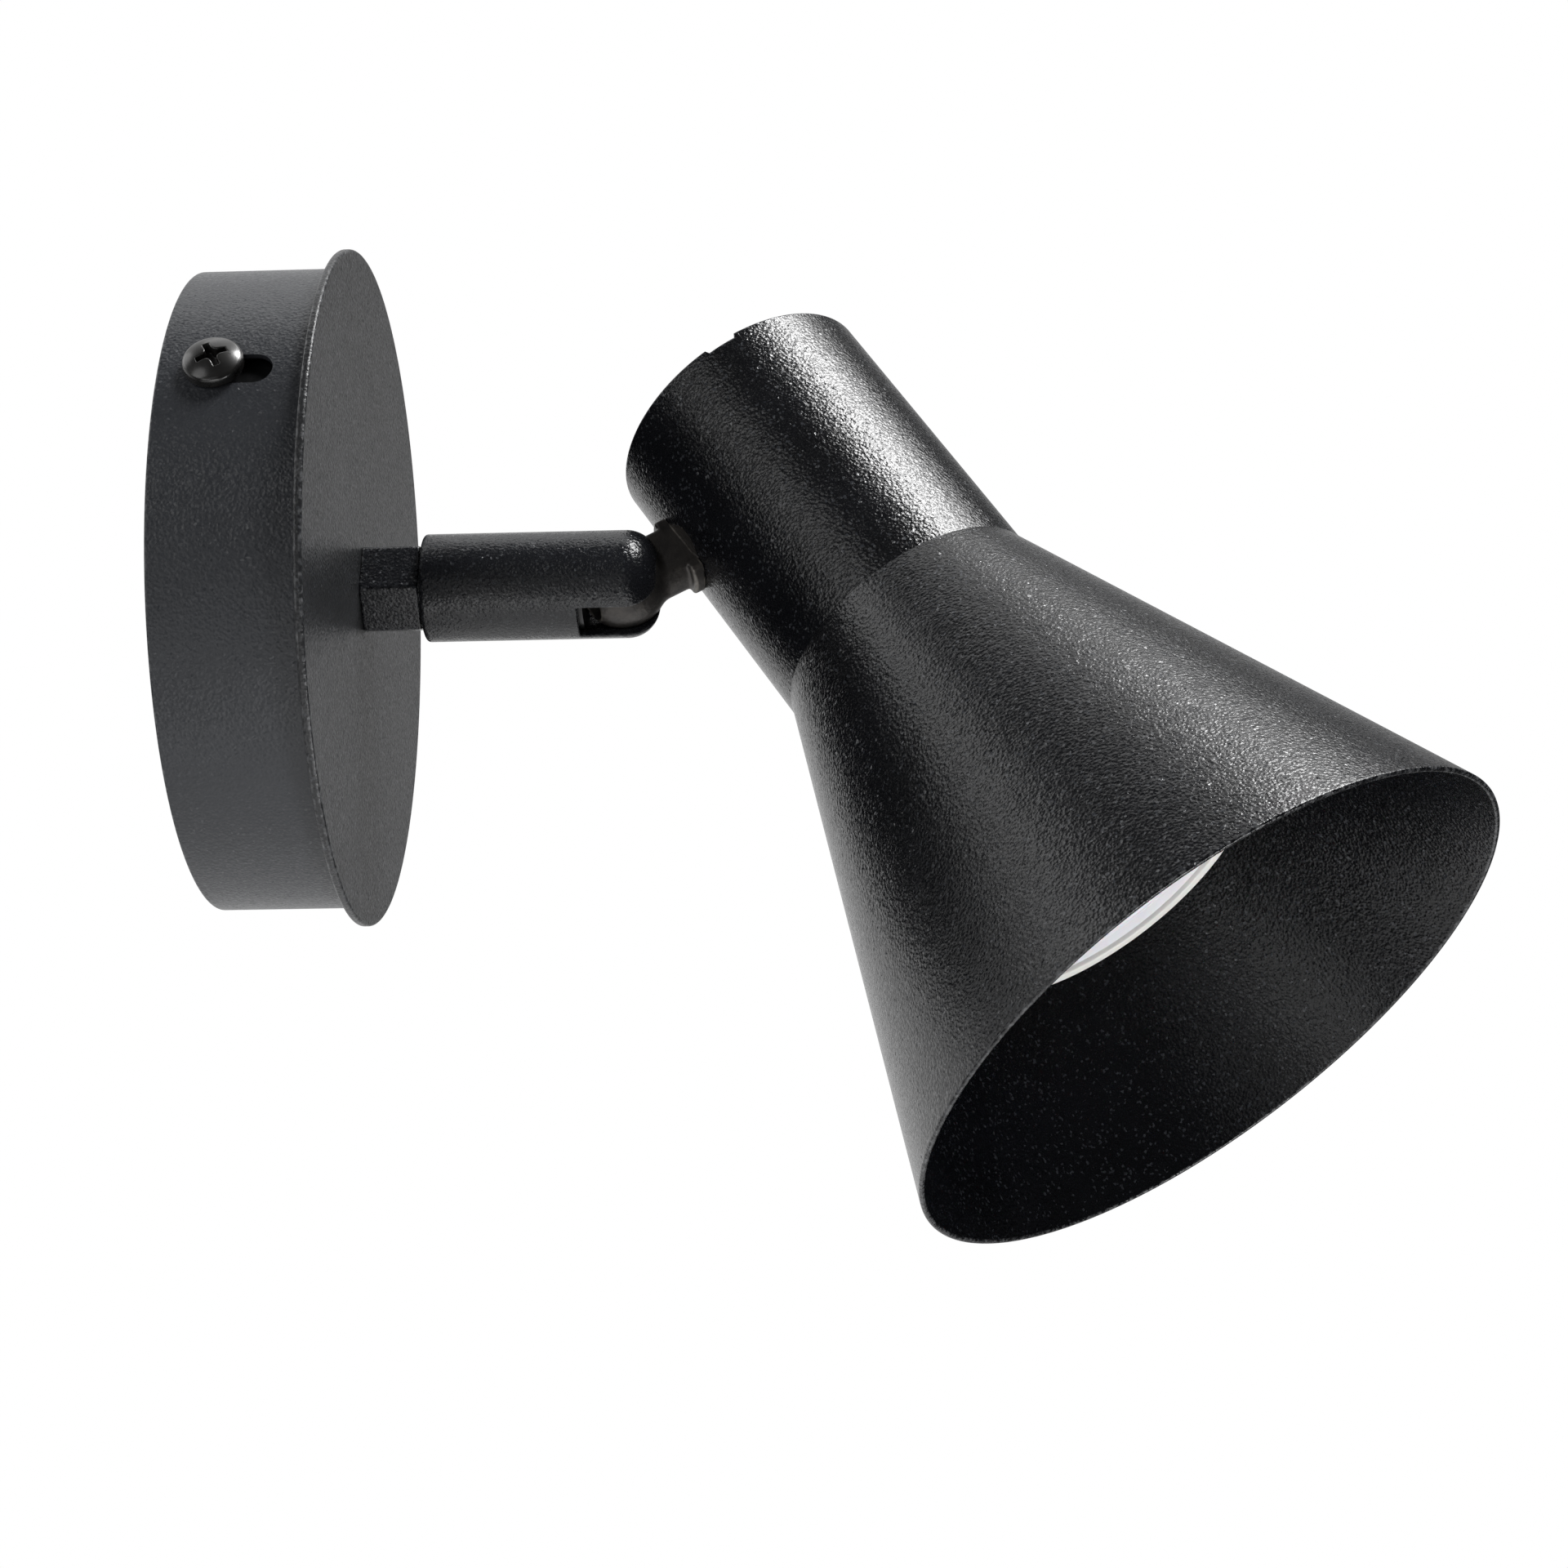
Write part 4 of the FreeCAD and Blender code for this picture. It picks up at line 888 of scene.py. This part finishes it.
FLOOR_Z = -0.9
FLOOR_HALF = 0.8
FLOOR_GLOW = 0.9
FLOOR_GLOW_MIRRORED = 0.5
corners = [(x * FLOOR_HALF, y * FLOOR_HALF, FLOOR_Z) for x, y in ((-1, -1), (1, -1), (1, 1), (-1, 1))]
floor_mesh = bpy.data.meshes.new("studio_floor")
floor_mesh.from_pydata(corners, [], [(0, 1, 2, 3)])
floor = bpy.data.objects.new("studio_floor", floor_mesh)
bpy.context.scene.collection.objects.link(floor)
floor_white, tree = finish("studio_white")
path = add(tree, "LightPath").outputs
mirrored = add(tree, "Math", {"operation": "MAXIMUM"}, _0=path["Is Glossy Ray"],
               _1=path["Is Transmission Ray"])
seen = add(tree, "Math", {"operation": "MULTIPLY_ADD"}, _0=mirrored.outputs["Value"],
           _1=FLOOR_GLOW_MIRRORED, _2=path["Is Camera Ray"])
paint = add(tree, "BsdfDiffuse", Color=colour("f2f2f2"))
glow = add(tree, "Emission", Color=colour("ffffff"), Strength=FLOOR_GLOW)
glow_seen = add(tree, "MixShader", _0=seen.outputs["Value"], _2=glow.outputs["Emission"])
both = add(tree, "AddShader", _0=paint.outputs["BSDF"], _1=glow_seen.outputs["Shader"])
add(tree, "OutputMaterial", Surface=both.outputs["Shader"])
floor_mesh.materials.append(floor_white)

BACKDROP_SIDE = (0.7, 0.7, 0.0)
BACKDROP_EDGE = (0.3, 0.8)
TENT_LIGHT = 0.04
world = bpy.data.worlds.new("white_backdrop")
world.use_nodes = True
tree = world.node_tree
tree.nodes.clear()
path = add(tree, "LightPath").outputs
mirrored = add(tree, "Math", {"operation": "MAXIMUM"}, _0=path["Is Glossy Ray"],
               _1=path["Is Transmission Ray"])
way = add(tree, "TexCoord").outputs["Generated"]
facing = add(tree, "VectorMath", {"operation": "DOT_PRODUCT"}, _0=way, _1=BACKDROP_SIDE).outputs["Value"]
edge = add(tree, "MapRange", Value=facing, From_Min=BACKDROP_EDGE[0], From_Max=BACKDROP_EDGE[1])
glossy = add(tree, "Math", {"operation": "MULTIPLY"}, _0=mirrored.outputs["Value"], _1=edge.outputs["Result"])
seen = add(tree, "Math", {"operation": "MAXIMUM"}, _0=path["Is Camera Ray"], _1=glossy.outputs["Value"])
tent = add(tree, "Background", Color=colour("ffffff"), Strength=TENT_LIGHT)
backdrop = add(tree, "Background", Color=colour("ffffff"), Strength=1.0)
both = add(tree, "MixShader", _0=seen.outputs["Value"], _1=tent.outputs["Background"],
           _2=backdrop.outputs["Background"])
add(tree, "OutputWorld", Surface=both.outputs["Shader"])
bpy.context.scene.world = world

AIM = Vector((0, -0.09, -0.03))
PANEL_DISTANCE = 1.2
PANELS = [
    ("key_panel", (0.03, -0.36, 0.93), 0.42, 15.0),
    ("key_front_panel", (0.25, -0.58, 0.77), 0.5, 4.0),
    ("key_right_panel", (0.4, -0.27, 0.87), 0.5, 1.4),
    ("overhead_panel", (0.35, 0.1, 0.93), 0.8, 1.6),
    ("wall_top_panel", (0.1, 0.77, 0.63), 0.6, 1.5),
    ("wall_left_panel", (-0.68, 0.68, 0.2), 0.6, 1.8),
    ("upper_left_panel", (-0.66, 0.52, 0.54), 0.5, 1.2),
    ("camera_side_panel", (-1.0, 0.1, 0.1), 0.6, 0.4),
    ("low_wall_panel", (-0.85, 0.4, -0.3), 0.6, 1.2),
    ("low_left_panel", (-0.7, -0.05, -0.7), 0.7, 3.4),
    ("low_front_panel", (-0.36, -0.7, -0.62), 0.5, 8.0),
]
for name, way, width, power in PANELS:
    light = bpy.data.lights.new(name, "AREA")
    light.shape = "DISK"
    light.size, light.energy = width, power
    panel = bpy.data.objects.new(name, light)
    panel.location = AIM + Vector(way).normalized() * PANEL_DISTANCE
    panel.rotation_euler = (AIM - panel.location).to_track_quat("-Z", "Y").to_euler()
    panel.visible_camera = False
    bpy.context.scene.collection.objects.link(panel)

# Camera matched to the photograph: 493 mm away on the -X side, level, rolled one degree.
VIEW_ANGLE = math.radians(26.427)
CAMERA_DISTANCE = 0.49315
CAMERA_AIM = Vector((0, -0.08349, -0.03003))
CAMERA_PAN = math.radians(-87.08)
CAMERA_ROLL = math.radians(-1.07)

camera_data = bpy.data.cameras.new("photo_camera")
camera = bpy.data.objects.new("photo_camera", camera_data)
camera_data.sensor_fit = "HORIZONTAL"
camera_data.angle = VIEW_ANGLE
camera_data.clip_start, camera_data.clip_end = 0.01, 50.0
behind = Vector((math.sin(CAMERA_PAN), -math.cos(CAMERA_PAN), 0))
level = Vector((math.cos(CAMERA_PAN), math.sin(CAMERA_PAN), 0))
upright = behind.cross(level)
right = level * math.cos(CAMERA_ROLL) + upright * math.sin(CAMERA_ROLL)
up = upright * math.cos(CAMERA_ROLL) - level * math.sin(CAMERA_ROLL)
turn = Matrix((right, up, behind)).transposed().to_4x4()
camera.matrix_world = Matrix.Translation(CAMERA_AIM + behind * CAMERA_DISTANCE) @ turn
bpy.context.scene.collection.objects.link(camera)
bpy.context.scene.camera = camera
bpy.context.scene.view_settings.view_transform = "Standard"
